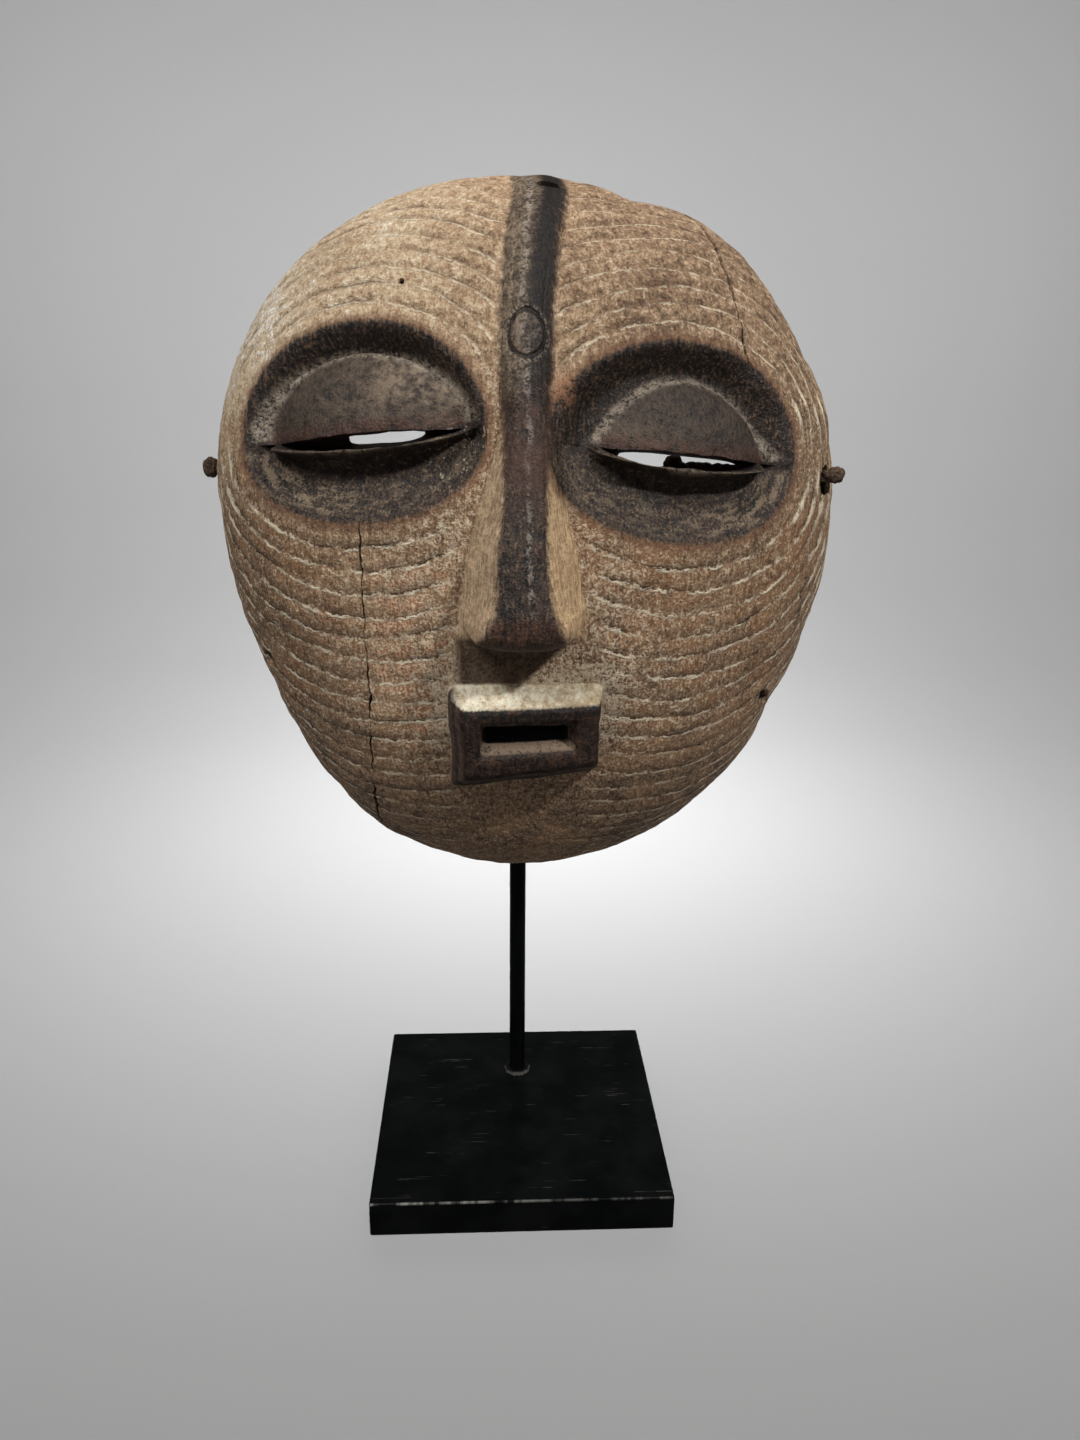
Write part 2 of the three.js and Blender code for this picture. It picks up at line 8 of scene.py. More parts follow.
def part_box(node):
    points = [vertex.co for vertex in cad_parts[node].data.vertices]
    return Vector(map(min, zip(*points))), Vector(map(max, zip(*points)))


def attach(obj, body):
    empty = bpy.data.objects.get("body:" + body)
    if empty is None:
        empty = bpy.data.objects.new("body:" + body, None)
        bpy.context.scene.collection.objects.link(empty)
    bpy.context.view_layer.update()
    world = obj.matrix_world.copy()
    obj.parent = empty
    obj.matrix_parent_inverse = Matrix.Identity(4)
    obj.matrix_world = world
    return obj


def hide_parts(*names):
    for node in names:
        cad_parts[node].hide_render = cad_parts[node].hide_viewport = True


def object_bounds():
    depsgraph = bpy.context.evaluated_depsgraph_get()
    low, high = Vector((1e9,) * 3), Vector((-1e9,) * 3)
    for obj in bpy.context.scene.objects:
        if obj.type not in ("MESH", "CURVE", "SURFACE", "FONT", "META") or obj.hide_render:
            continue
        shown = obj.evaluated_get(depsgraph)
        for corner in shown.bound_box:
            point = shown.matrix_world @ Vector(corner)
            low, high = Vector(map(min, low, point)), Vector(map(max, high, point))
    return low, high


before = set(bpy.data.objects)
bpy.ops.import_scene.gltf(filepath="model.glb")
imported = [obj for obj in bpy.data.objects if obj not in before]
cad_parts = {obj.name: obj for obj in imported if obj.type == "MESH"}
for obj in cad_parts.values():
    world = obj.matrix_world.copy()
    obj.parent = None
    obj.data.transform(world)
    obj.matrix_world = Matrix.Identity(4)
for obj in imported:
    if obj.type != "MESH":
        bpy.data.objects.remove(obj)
solid_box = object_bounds()


# The view
# A portrait view from just above the top of the eyes, half a metre in front of the mask and
# looking a little down, so that the whole base shows under the chin.
VIEW_PLACE = Vector((-0.0152, -0.5272, 0.3978))
VIEW_YAW = -0.0475
VIEW_DOWN = 0.2872
VIEW_ROLL = 0.0091

level = Vector((-math.sin(VIEW_YAW), math.cos(VIEW_YAW), 0))
sideways = Vector((math.cos(VIEW_YAW), math.sin(VIEW_YAW), 0))
ahead = level * math.cos(VIEW_DOWN) - Vector((0, 0, math.sin(VIEW_DOWN)))
upward = Vector((0, 0, math.cos(VIEW_DOWN))) + level * math.sin(VIEW_DOWN)
right = sideways * math.cos(VIEW_ROLL) + upward * math.sin(VIEW_ROLL)
upright = upward * math.cos(VIEW_ROLL) - sideways * math.sin(VIEW_ROLL)

lens = bpy.data.cameras.new("view")
lens.sensor_fit = "VERTICAL"
lens.sensor_height = 36
lens.lens = 27.64
lens.clip_start = 0.01
view = bpy.data.objects.new("view", lens)
bpy.context.scene.collection.objects.link(view)
view.matrix_world = Matrix.Translation(VIEW_PLACE) @ Matrix((right, upright, -ahead)).transposed().to_4x4()
bpy.context.scene.camera = view


# Square base
# A solid block of mild steel under satin black paint, with its edges broken by a file. Handling
# has rubbed the front edge bright and left faint cloudy marks and hair scratches on the top.
BASE_SIDE = 0.150
BASE_THICK = 0.0186
BASE_EDGE = 0.0009


class Shade:
    """A number in a material's node tree. Sums on it become Math nodes."""

    def __init__(self, finish, socket):
        self.finish = finish
        self.socket = socket

    def maths(self, operation, *others):
        return self.finish.node("ShaderNodeMath", {"operation": operation}, dict(enumerate((self,) + others)))

    def after(self, operation, other):
        return self.finish.node("ShaderNodeMath", {"operation": operation}, {0: other, 1: self})

    def __add__(self, other):
        return self.maths("ADD", other)

    def __sub__(self, other):
        return self.maths("SUBTRACT", other)

    def __mul__(self, other):
        return self.maths("MULTIPLY", other)

    def __rsub__(self, other):
        return self.after("SUBTRACT", other)

    __radd__ = __add__
    __rmul__ = __mul__

    def step(self, low, high, start=0.0, end=1.0):
        """Goes smoothly from start to end while this number goes from low to high."""
        return self.finish.node("ShaderNodeMapRange", {"interpolation_type": "SMOOTHSTEP"},
                                {0: self, 1: low, 2: high, 3: start, 4: end})

    def mix(self, colour, other):
        """The first colour where this number is 0, and the other where it is 1."""
        return self.finish.node("ShaderNodeMix", {"data_type": "RGBA"}, {0: self, 6: colour, 7: other}, 2)


class Finish:
    """A material that is built up from nodes."""

    def __init__(self, name):
        self.material = bpy.data.materials.new(name)
        self.material.use_nodes = True
        self.tree = self.material.node_tree
        self.skin = self.tree.nodes["Principled BSDF"]

    def node(self, kind, settings, sockets, out=0):
        made = self.tree.nodes.new(kind)
        for name, value in settings.items():
            if name == "stops":
                ramp = made.color_ramp.elements
                stops = [ramp[0], ramp[1]] + [ramp.new(0.5) for _ in value[2:]]
                for (place, colour), stop in zip(value, stops):
                    stop.position = place
                    stop.color = (*colour, 1)
            else:
                setattr(made, name, value)
        self.join(made, sockets)
        return Shade(self, made.outputs[out])

    def join(self, made, sockets):
        for name, value in sockets.items():
            if isinstance(value, Shade):
                self.tree.links.new(value.socket, made.inputs[name])
            elif isinstance(value, tuple) and made.inputs[name].type == "RGBA":
                made.inputs[name].default_value = (*value, 1)
            else:
                made.inputs[name].default_value = value

    def attribute(self, name):
        return self.node("ShaderNodeAttribute", {"attribute_name": name}, {}, 2)

    def place(self, stretch=(1, 1, 1)):
        """Object coordinates in millimetres, stretched by a factor on each axis."""
        here = self.node("ShaderNodeTexCoord", {}, {}, 3)
        return self.node("ShaderNodeVectorMath", {"operation": "MULTIPLY"},
                         {0: here, 1: [1000 * s for s in stretch]})

    def noise(self, vector, scale, detail=3.0, rough=0.55):
        return self.node("ShaderNodeTexNoise", {}, {"Vector": vector, "Scale": scale, "Detail": detail,
                                                    "Roughness": rough})

    def bump(self, height, distance):
        return self.node("ShaderNodeBump", {}, {"Height": height, "Strength": 1.0, "Distance": distance})


def srgb(red, green, blue):
    """A colour given as it looks on a screen, 0 to 255."""
    return tuple(((v / 255 + 0.055) / 1.055) ** 2.4 if v > 10 else v / 255 / 12.92
                 for v in (red, green, blue))


def blacked(name, worn_edge):
    """Satin black paint on steel, cloudy and lightly scratched, with an edge wear of its own."""
    black = Finish(name)
    here = black.place()
    cloud = black.noise(here, 0.045, 5.0, 0.6)
    fine = black.noise(here, 0.9, 3.0, 0.6)
    drag = black.noise(black.place((0.03, 1.4, 1.0)), 1.0, 2.0, 0.5)
    scratch = drag.step(0.66, 0.70) * black.noise(here, 0.06).step(0.52, 0.62)
    colour = cloud.step(0.35, 0.7).mix(srgb(2, 3, 3), srgb(8, 10, 9))
    colour = (fine.step(0.55, 0.75) * 0.3).mix(colour, srgb(22, 24, 23))
    colour = (scratch * 0.5).mix(colour, srgb(84, 84, 80))
    colour = worn_edge(black, fine).mix(colour, srgb(150, 148, 140))
    black.join(black.skin, {
        "Base Color": colour,
        "Roughness": cloud.step(0.3, 0.75, 0.27, 0.42) + fine * 0.06,
        "Specular IOR Level": 0.12,
        "Normal": black.bump(fine * 0.4 + scratch * -0.6, 0.00003),
    })
    return black.material


def front_edge_wear(black, fine):
    """Bare metal along the top front edge, most of it left of the middle."""
    x, y, z = (black.node("ShaderNodeSeparateXYZ", {}, {0: black.place()}, axis) for axis in range(3))
    edge = y.step(-1000 * BASE_SIDE / 2 + 1.1, -1000 * BASE_SIDE / 2 + 0.35)
    top = z.step(1000 * BASE_THICK - 1.3, 1000 * BASE_THICK - 0.5)
    run = black.noise(black.place((1, 0.05, 0.05)), 0.12, 4.0, 0.7).step(0.40, 0.62)
    left = x.step(30, -60, 0.25, 1.0)
    return edge * top * run * left * (fine * 0.6 + 0.5)


def adopt(piece, finish, node):
    """The piece gets its finish, rides on the stand and stands for its CAD node."""
    piece.data.materials.clear()
    piece.data.materials.append(finish)
    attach(piece, "root")
    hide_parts(node)


def settle(piece):
    """Puts the piece's place into its mesh and smooths all but its sharp edges."""
    bpy.ops.object.select_all(action="DESELECT")
    piece.select_set(True)
    bpy.context.view_layer.objects.active = piece
    bpy.ops.object.transform_apply(location=True, rotation=True, scale=True)
    bpy.ops.object.shade_smooth_by_angle(angle=math.radians(38))


bpy.ops.object.select_all(action="DESELECT")
bpy.ops.mesh.primitive_cube_add(size=1, location=(0, 0, BASE_THICK / 2),
                                scale=(BASE_SIDE, BASE_SIDE, BASE_THICK))
base = bpy.context.object
base.name = "square_base"
settle(base)
rounding = base.modifiers.new("filed_edge", "BEVEL")
rounding.width = BASE_EDGE
rounding.segments = 3
bpy.ops.object.modifier_apply(modifier=rounding.name)
bpy.ops.object.shade_smooth_by_angle(angle=math.radians(38))
adopt(base, blacked("base_black", front_edge_wear), "stand_base")


# Rod
# A round steel bar, welded upright behind the middle of the base, bent forward under the mask's
# crown and ended by a short cross bar. It was blacked with the base after welding.
ROD_RADIUS = 0.0044
ROD_BACK = 0.0357
BEND_RADIUS = 0.016
ARM_REACH = 0.030
BAR_RADIUS = 0.0035
BAR_HALF = 0.034
BEAD_RADIUS = 0.0072
BEAD_HEIGHT = 0.0024

arm_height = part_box("stand_rod")[1].z - ROD_RADIUS
bpy.ops.object.select_all(action="DESELECT")
bpy.ops.mesh.primitive_circle_add(vertices=32, radius=ROD_RADIUS, fill_type="NGON",
                                  location=(0, ROD_BACK, BASE_THICK - 0.001))
rod = bpy.context.object
rod.name = "blacked_rod"
settle(rod)
bpy.ops.object.mode_set(mode="EDIT")
bpy.ops.mesh.select_all(action="SELECT")
bpy.ops.mesh.extrude_region_move(TRANSFORM_OT_translate={
    "value": (0, 0, arm_height - BEND_RADIUS - BASE_THICK + 0.001)})
bpy.ops.mesh.spin(steps=12, angle=math.pi / 2, axis=(-1, 0, 0),
                  center=(0, ROD_BACK - BEND_RADIUS, arm_height - BEND_RADIUS))
bpy.ops.mesh.extrude_region_move(TRANSFORM_OT_translate={"value": (0, BEND_RADIUS - ARM_REACH, 0)})
bpy.ops.mesh.select_all(action="SELECT")
bpy.ops.mesh.normals_make_consistent(inside=False)
bpy.ops.object.mode_set(mode="OBJECT")

bpy.ops.mesh.primitive_cylinder_add(vertices=28, radius=BAR_RADIUS, depth=2 * BAR_HALF,
                                    location=(0, ROD_BACK - ARM_REACH, arm_height),
                                    rotation=(0, math.pi / 2, 0))
bar = bpy.context.object
settle(bar)
rounding = bar.modifiers.new("filed_ends", "BEVEL")
rounding.width = 0.0008
rounding.segments = 3
bpy.ops.object.modifier_apply(modifier=rounding.name)

bpy.ops.object.select_all(action="DESELECT")
bpy.ops.mesh.primitive_cylinder_add(vertices=48, radius=BEAD_RADIUS, depth=BEAD_HEIGHT + 0.001,
                                    location=(0, ROD_BACK, BASE_THICK + BEAD_HEIGHT / 2 - 0.0005))
bead = bpy.context.object
settle(bead)
rounding = bead.modifiers.new("bead_round", "BEVEL")
rounding.width = 0.0014
rounding.segments = 4
bpy.ops.object.modifier_apply(modifier=rounding.name)
for corner in bead.data.vertices:
    turn = math.atan2(corner.co.y - ROD_BACK, corner.co.x)
    swell = 1 + 0.035 * math.sin(9 * turn) + 0.02 * math.sin(17 * turn + 1)
    corner.co.x *= swell
    corner.co.y = ROD_BACK + (corner.co.y - ROD_BACK) * swell

for part in (bar, bead):
    bpy.ops.object.select_all(action="DESELECT")
    bpy.context.view_layer.objects.active = rod
    weld = rod.modifiers.new("weld", "BOOLEAN")
    weld.operation = "UNION"
    weld.object = part
    bpy.ops.object.modifier_apply(modifier=weld.name)
    bpy.data.objects.remove(part)
settle(rod)


def foot_wear(black, fine):
    """The weld bead is rubbed a little brighter than the bar."""
    z = black.node("ShaderNodeSeparateXYZ", {}, {0: black.place()}, 2)
    return z.step(1000 * (BASE_THICK + BEAD_HEIGHT), 1000 * BASE_THICK + 0.6) * (fine * 0.5 + 0.12)


adopt(rod, blacked("rod_black", foot_wear), "stand_rod")


# Mask
# One block of soft light wood, hollowed with an adze and cut outside with a knife. White clay is
# rubbed into the grooves, and black is brushed on the eyes, the ridge and the mouth. The carver's
# marks, the cracks and the wear stay. It leans on the rod and hangs on the cross bar.
MIDDLE = (-2.7, 355.7)
HALF_WIDTH = (136, 147.5)
CROWN, CHIN = 132.5, 187.5
ROUNDNESS = {"crown": 2.08, "chin_left": 2.0, "chin_right": 2.15}
UNEVEN = ((28, 9, -2.2), (53, 9, 2.2), (68, 6, -2.0), (-143, 12, -2.5), (-114, 10, 2.0), (-38, 6, -2.0),
          (-10, 9, 2.0), (176, 9, 0.7))
FRONT_Y, WIDEST_Y, RIM_Y = -82, 8, 31.0
DOME_POWER = 2.3
RIM_TUCK = 0.03
MEAN_RADIUS = 150


def smooth(value, low, high):
    part = np.clip((value - low) / (high - low), 0, 1)
    return part * part * (3 - 2 * part)


def outline_radius(angle):
    """Reach of the egg-shaped outline from its middle, with the places left flat or full."""
    cosine, sine = np.cos(angle), np.sin(angle)
    across = np.abs(cosine) / np.where(cosine < 0, *HALF_WIDTH)
    upright = np.abs(sine) / np.where(sine > 0, CROWN, CHIN)
    chin = np.where(cosine < 0, ROUNDNESS["chin_left"], ROUNDNESS["chin_right"])
    power = np.where(sine > 0, ROUNDNESS["crown"], chin)
    radius = (across ** power + upright ** power) ** (-1 / power)
    for at, spread, by in UNEVEN:
        away = (np.degrees(angle) - at + 180) % 360 - 180
        radius = radius + by * np.exp(-((away / spread) ** 2))
    return radius


quarter = np.linspace(0, math.pi / 2, 201)
tuck = np.arange(1, 11) / 10
side_share = np.concatenate([np.sin(quarter) ** (2 / DOME_POWER), 1 - RIM_TUCK * tuck ** 2])
side_depth = np.concatenate([
    WIDEST_Y - (WIDEST_Y - FRONT_Y) * np.maximum(0, np.cos(quarter)) ** (2 / DOME_POWER),
    WIDEST_Y + (RIM_Y - WIDEST_Y) * tuck])
side_length = np.concatenate([
    [0], np.cumsum(np.hypot(np.diff(side_share) * MEAN_RADIUS, np.diff(side_depth)))])


def side_slope(length, radius):
    """Unit direction of the dome's side curve: outwards and back."""
    out, back = (np.interp(length + 2, side_length, side) - np.interp(length - 2, side_length, side)
                 for side in (side_share, side_depth))
    out = out * radius
    size = np.hypot(out, back)
    return out / size, back / size


def on_skin(p, q, height=0.0):
    """Places on the unrolled skin of the mask in space: p across, q up, and a height above it."""
    angle = np.arctan2(q, p)
    radius = outline_radius(angle)
    length = np.hypot(p, q) * MEAN_RADIUS / radius
    out, back = side_slope(length, radius)
    reach = np.interp(length, side_length, side_share) * radius + height * back
    depth = np.interp(length, side_length, side_depth) - height * out
    return np.stack([MIDDLE[0] + reach * np.cos(angle), depth, MIDDLE[1] + reach * np.sin(angle)], axis=-1)


def off_skin(points):
    """The other way: p, q and height of places in space."""
    found = []
    for part in np.array_split(points, max(1, len(points) // 20000)):
        dx, dz = part[:, 0] - MIDDLE[0], part[:, 2] - MIDDLE[1]
        angle, reach = np.arctan2(dz, dx), np.hypot(dx, dz)
        radius = outline_radius(angle)
        line = radius[:, None] * side_share[None, :]
        gap = (reach[:, None] - line) ** 2 + (part[:, 1, None] - side_depth[None, :]) ** 2
        length = side_length[gap.argmin(axis=1)]
        for _ in range(3):
            out, back = side_slope(length, radius)
            off_out = reach - np.interp(length, side_length, side_share) * radius
            off_back = part[:, 1] - np.interp(length, side_length, side_depth)
            ahead_of = off_out * out + off_back * back
            length = np.clip(length + np.clip(ahead_of, -1, 1) * MEAN_RADIUS / radius, 0, side_length[-1])
        out, back = side_slope(length, radius)
        off_out = reach - np.interp(length, side_length, side_share) * radius
        off_back = part[:, 1] - np.interp(length, side_length, side_depth)
        run = length * radius / MEAN_RADIUS
        height = off_out * back - off_back * out
        found.append(np.stack([run * np.cos(angle), run * np.sin(angle), height], axis=-1))
    return np.concatenate(found)


hand = np.random.default_rng(9)


def unevenness(p, q, size):
    """A smooth wandering of about -1 to 1, with hills about as wide as size."""
    total = 0
    for _ in range(7):
        turn, shift = hand.uniform(0, 2 * math.pi, 2)
        wave = 2 * math.pi / (size * hand.uniform(1.4, 3.2))
        total = total + np.sin(wave * (p * math.cos(turn) + q * math.sin(turn)) + shift)
    return total / 3


# The eyes: middle of each slit, its tilt, and how far its socket reaches
LEFT_EYE = {"p": -65.5, "q": 26, "tilt": math.radians(4.7), "left": 57.5, "right": 52.5, "up": 45, "down": 35,
            "lid_half": 47, "lid_left": 52, "lid_right": 47, "lid_height": 35, "lid_power": 0.52}
RIGHT_EYE = {"p": 70.5, "q": 18.7, "tilt": math.radians(-5), "left": 61, "right": 52, "up": 45, "down": 36,
             "lid_half": 41, "lid_left": 41, "lid_right": 46, "lid_height": 32, "lid_power": 0.8}
SOCKET_POWER = 2.1
SOCKET_DEPTH = 11
BROW_SHARE = 0.25
LID_BULGE, LID_SKEW = 9.5, -0.05
LEDGE_DROP = 6.3
# Below the lid: share of the way from the thin ledge to the socket's edge, and depth
UNDER_SHARE = (0, 0.04, 0.12, 0.3, 0.5, 0.75, 0.92, 1)
UNDER_DEPTH = (2.6, 1.8, -4.4, -8.0, -7.4, -4.4, -1.4, 0)
GROOVE_PITCH, GROOVE_PITCH_UPWARD, GROOVE_DEPTH, PLAIN_MARGIN = 8.8, 1.0, 0.6, 11


def socket_reach(eye, turned):
    cosine, sine = np.cos(turned), np.sin(turned)
    across = np.abs(cosine) / np.where(cosine < 0, eye["left"], eye["right"])
    upright = np.abs(sine) / np.where(sine > 0, eye["up"], eye["down"])
    return (across ** SOCKET_POWER + upright ** SOCKET_POWER) ** (-1 / SOCKET_POWER)


def lid_side(eye, along):
    return np.where(along < 0, eye["lid_left"], eye["lid_right"])


def lid_top(eye, along):
    across = np.clip(along / lid_side(eye, along), -1, 1)
    return eye["lid_height"] * (1 - across ** 2) ** eye["lid_power"] * (1 + LID_SKEW * across)


def ledge_line(eye, along):
    return LEDGE_DROP * (1 - np.minimum(1, np.abs(along / eye["lid_half"])) ** 2.2) ** 0.6


def edge_reach(eye, turned):
    """How far the lid's crease, or below the slit the ledge, is from the slit's middle."""
    low = np.zeros_like(turned)
    high = np.minimum(60, lid_side(eye, np.cos(turned)) / np.maximum(1e-6, np.abs(np.cos(turned))))
    for _ in range(30):
        middle = (low + high) / 2
        along, above = middle * np.cos(turned), middle * np.sin(turned)
        inside = np.where(above > 0, above < lid_top(eye, along), -above < ledge_line(eye, along))
        low, high = np.where(inside, middle, low), np.where(inside, high, middle)
    return low


def eye_parts(eye, p, q):
    """For places on the skin: distance along and above the slit, share of the socket, lid and ledge."""
    dp, dq = p - eye["p"], q - eye["q"]
    reach, turned = np.hypot(dp, dq), np.arctan2(dq, dp) - eye["tilt"]
    along, above = reach * np.cos(turned), reach * np.sin(turned)
    socket = socket_reach(eye, turned)
    edge = edge_reach(eye, turned)
    lid = np.where(above > 0, reach / np.maximum(edge, 1), 0)
    under = np.where(above <= 0, (reach - edge) / np.maximum(socket - edge, 1), -1)
    return along, above, reach / socket, lid, under


def socket_height(eye, p, q):
    along, above, share, lid, under = eye_parts(eye, p, q)
    end = (1 - np.minimum(1, np.abs(along / eye["lid_half"])) ** 3) ** 0.5
    rise = LID_BULGE * np.maximum(0, 1 - np.minimum(lid, 1) ** 2.2) ** 0.5 * end
    upper = rise - SOCKET_DEPTH * smooth(1 - share, 0, BROW_SHARE)
    lower = np.interp(under, UNDER_SHARE, UNDER_DEPTH)
    below = smooth(-above, 0.5, 4.5)
    return upper * (1 - below) + lower * below


def groove_drift(row, angle):
    """Wandering of each hand-cut groove from its even place, in millimetres."""
    first = np.floor(row)
    drift = 0
    for number, weight in ((first, 1 - (row - first)), (first + 1, row - first)):
        drift = drift + weight * (0.6 * np.sin(3.1 * angle + 1.7 * number)
                                  + 0.4 * np.sin(7.3 * angle + 2.9 * number)
                                  + 0.22 * np.sin(17 * angle + 4.1 * number))
    return drift


def groove_rows(eye, p, q):
    """Which groove a place is at, counted from the socket's edge, and how much it lies above the eye."""
    angle = np.arctan2(q - eye["q"], p - eye["p"])
    pitch = GROOVE_PITCH - GROOVE_PITCH_UPWARD * np.sin(angle)
    row = (np.hypot(p - eye["p"], q - eye["q"]) - socket_reach(eye, angle - eye["tilt"])) / pitch
    fade = smooth(row, 0, 1)
    return row - fade * groove_drift(row, angle) / pitch, np.sin(angle)


def groove_strength(p, q):
    """Grooves fade out near the rim and are worn shallow in places."""
    left = side_length[-1] * outline_radius(np.arctan2(q, p)) / MEAN_RADIUS - np.hypot(p, q)
    shallow = 0.5 + 0.5 * np.sin(0.055 * p + 0.021 * q) * np.sin(0.043 * q - 0.03 * p + 1)
    return smooth(left, PLAIN_MARGIN, 2 * PLAIN_MARGIN) * (0.45 + 0.55 * shallow)


def groove_height(eye, p, q):
    row, _ = groove_rows(eye, p, q)
    off = np.abs(row - np.round(row))
    cut = (0.6 * np.clip(1 - off / 0.22, 0, 1) ** 1.3 + 0.4 * (1 - 2 * off)) * smooth(row, 0.5, 0.8)
    return -GROOVE_DEPTH * cut * groove_strength(p, q)


def welded(corners, triangles):
    """One mesh from loose triangles: near corners joined, flat triangles dropped, faces outwards."""
    keys = np.round(corners * 500).astype(np.int64)
    _, first, same = np.unique(keys, axis=0, return_index=True, return_inverse=True)
    same = same.reshape(-1)[triangles]
    whole = (same[:, 0] != same[:, 1]) & (same[:, 1] != same[:, 2]) & (same[:, 2] != same[:, 0])
    corners, triangles = corners[first], same[whole]
    a, b, c = (corners[triangles[:, i]] for i in range(3))
    if np.einsum("ij,ij->i", a, np.cross(b, c)).sum() < 0:
        triangles = triangles[:, ::-1]
    return corners, triangles


def piece_from(name, corners, triangles):
    mesh = bpy.data.meshes.new(name)
    mesh.from_pydata((np.asarray(corners) / 1000).tolist(), [], np.asarray(triangles).tolist())
    made = bpy.data.objects.new(name, mesh)
    bpy.context.scene.collection.objects.link(made)
    return made


def grid_triangles(rows, columns, closed=False):
    """Triangles of a grid of points, rows by columns."""
    i = np.arange(rows - 1)[:, None]
    j = np.arange(columns if closed else columns - 1)[None, :]
    k = (j + 1) % columns
    a, b, c, d = i * columns + j, (i + 1) * columns + j, (i + 1) * columns + k, i * columns + k
    return np.concatenate([np.stack([a, b, c], -1).reshape(-1, 3), np.stack([a, c, d], -1).reshape(-1, 3)])


def loft(name, rings):
    """A closed piece through rings of points, each with the same number of points."""
    rings = np.array(rings)
    count = rings.shape[1]
    corners = np.concatenate([rings.reshape(-1, 3), rings[:1].mean(axis=1), rings[-1:].mean(axis=1)])
    first, last = len(corners) - 2, len(corners) - 1
    j = np.arange(count)
    start = (len(rings) - 1) * count
    caps = np.concatenate([np.stack([np.full(count, first), j, (j + 1) % count], -1),
                           np.stack([np.full(count, last), start + (j + 1) % count, start + j], -1)])
    return piece_from(name, *welded(corners, np.concatenate([grid_triangles(len(rings), count, True), caps])))


COLUMN_STEP = 2.3
RIM_COUNT = 140
LOWER_SPOTS = (0.025, 0.05, 0.09, 0.13, 0.18, 0.24, 0.3, 0.38, 0.46, 0.54, 0.62, 0.7, 0.78, 0.86, 0.93, 1.0)
ROW_SPOTS = (0.13, 0.35, 0.65, 0.87, 1.0)
GROOVE_MOST = 31


def skin_rim(angle):
    reach = side_length[-1] * outline_radius(angle) / MEAN_RADIUS
    return np.stack([reach * np.cos(angle), reach * np.sin(angle)], axis=-1)


def half_face(eye, edge):
    """Points of one half of the face: a column from the slit's middle to each place on its edge."""
    dp, dq = edge[:, 0] - eye["p"], edge[:, 1] - eye["q"]
    outside, limit = np.arctan2(dq, dp), np.hypot(dp, dq)
    inside = outside.copy()
    for end in (eye["tilt"], eye["tilt"] + math.pi):
        for side in (1, -1):
            inside[((side * (outside - end)) % (2 * math.pi)).argmin()] = end + side * 1e-3
    turned = inside - eye["tilt"]
    crease, socket = edge_reach(eye, turned), socket_reach(eye, turned)
    upper = np.sin(turned) > 0
    spread = np.concatenate([np.linspace(0, 0.9, 15), [0.94, 0.97, 0.99, 1.0]])
    ledge = np.concatenate([np.linspace(0, 0.7, 12), np.linspace(0.76, 1.0, 7)])
    near = np.where(upper[:, None], spread[None, :], ledge[None, :]) * crease[:, None]
    walls = np.where(upper[:, None], np.linspace(0, 1, 17)[None, 1:],
                     np.array(LOWER_SPOTS)[None, :])
    far = crease[:, None] + walls * (socket - crease)[:, None]
    reach_in = np.concatenate([near, far], axis=1)
    p_in = eye["p"] + reach_in * np.cos(inside)[:, None]
    q_in = eye["q"] + reach_in * np.sin(inside)[:, None]
    h_in = socket_height(eye, p_in, q_in)
    h_in[:, -1] = 0
    row = np.concatenate([k + np.array(ROW_SPOTS) for k in range(GROOVE_MOST)])[None, :]
    pitch = (GROOVE_PITCH - GROOVE_PITCH_UPWARD * np.sin(outside))[:, None]
    drift = groove_drift(row, outside[:, None]) * smooth(row, 0, 1)
    reach_out = socket_reach(eye, outside - eye["tilt"])[:, None] + row * pitch + drift
    gone = reach_out > limit[:, None] - 0.6
    p_out = np.where(gone, edge[:, :1], eye["p"] + reach_out * np.cos(outside)[:, None])
    q_out = np.where(gone, edge[:, 1:], eye["q"] + reach_out * np.sin(outside)[:, None])
    h_out = groove_height(eye, p_out, q_out)
    both = sum(groove_height(side, edge[:, 0], edge[:, 1]) for side in (LEFT_EYE, RIGHT_EYE)) / 2
    h_out = np.where(gone, both[:, None], h_out)
    return on_skin(np.concatenate([p_in, p_out], 1), np.concatenate([q_in, q_out], 1),
                   np.concatenate([h_in, h_out], 1))


top_end, low_end = skin_rim(math.pi / 2)[1], skin_rim(-math.pi / 2)[1]
steps = round((top_end - low_end) / COLUMN_STEP)
midline = np.stack([np.zeros(steps + 1), np.linspace(top_end, low_end, steps + 1)], axis=-1)
around = math.pi * np.arange(1, RIM_COUNT) / RIM_COUNT
left_rim, right_rim = skin_rim(-math.pi / 2 - around), skin_rim(math.pi / 2 - around)
corners, triangles, offset = [], [], 0
for eye, edge in ((LEFT_EYE, np.concatenate([midline, left_rim, midline[:1]])),
                  (RIGHT_EYE, np.concatenate([midline[::-1], right_rim, midline[-1:]]))):
    sheet = half_face(eye, edge)
    corners.append(sheet.reshape(-1, 3))
    triangles.append(grid_triangles(*sheet.shape[:2]) + offset)
    offset += sheet.shape[0] * sheet.shape[1]
rim = np.concatenate([midline[:1], right_rim, midline[-1:], left_rim])
rim_points = on_skin(rim[:, 0], rim[:, 1])
hub = np.array([MIDDLE[0], RIM_Y, MIDDLE[1]])
back_rings = np.array([hub + share * (rim_points - hub)
                       for share in (1, 0.985, 0.96, 0.93, 0.9, 0.86, 0.81, 0.75, 0)])
corners.append(back_rings.reshape(-1, 3))
triangles.append(grid_triangles(len(back_rings), len(rim), True)[:, ::-1] + offset)
mask = piece_from("carved_mask", *welded(np.concatenate(corners), np.concatenate(triangles)))


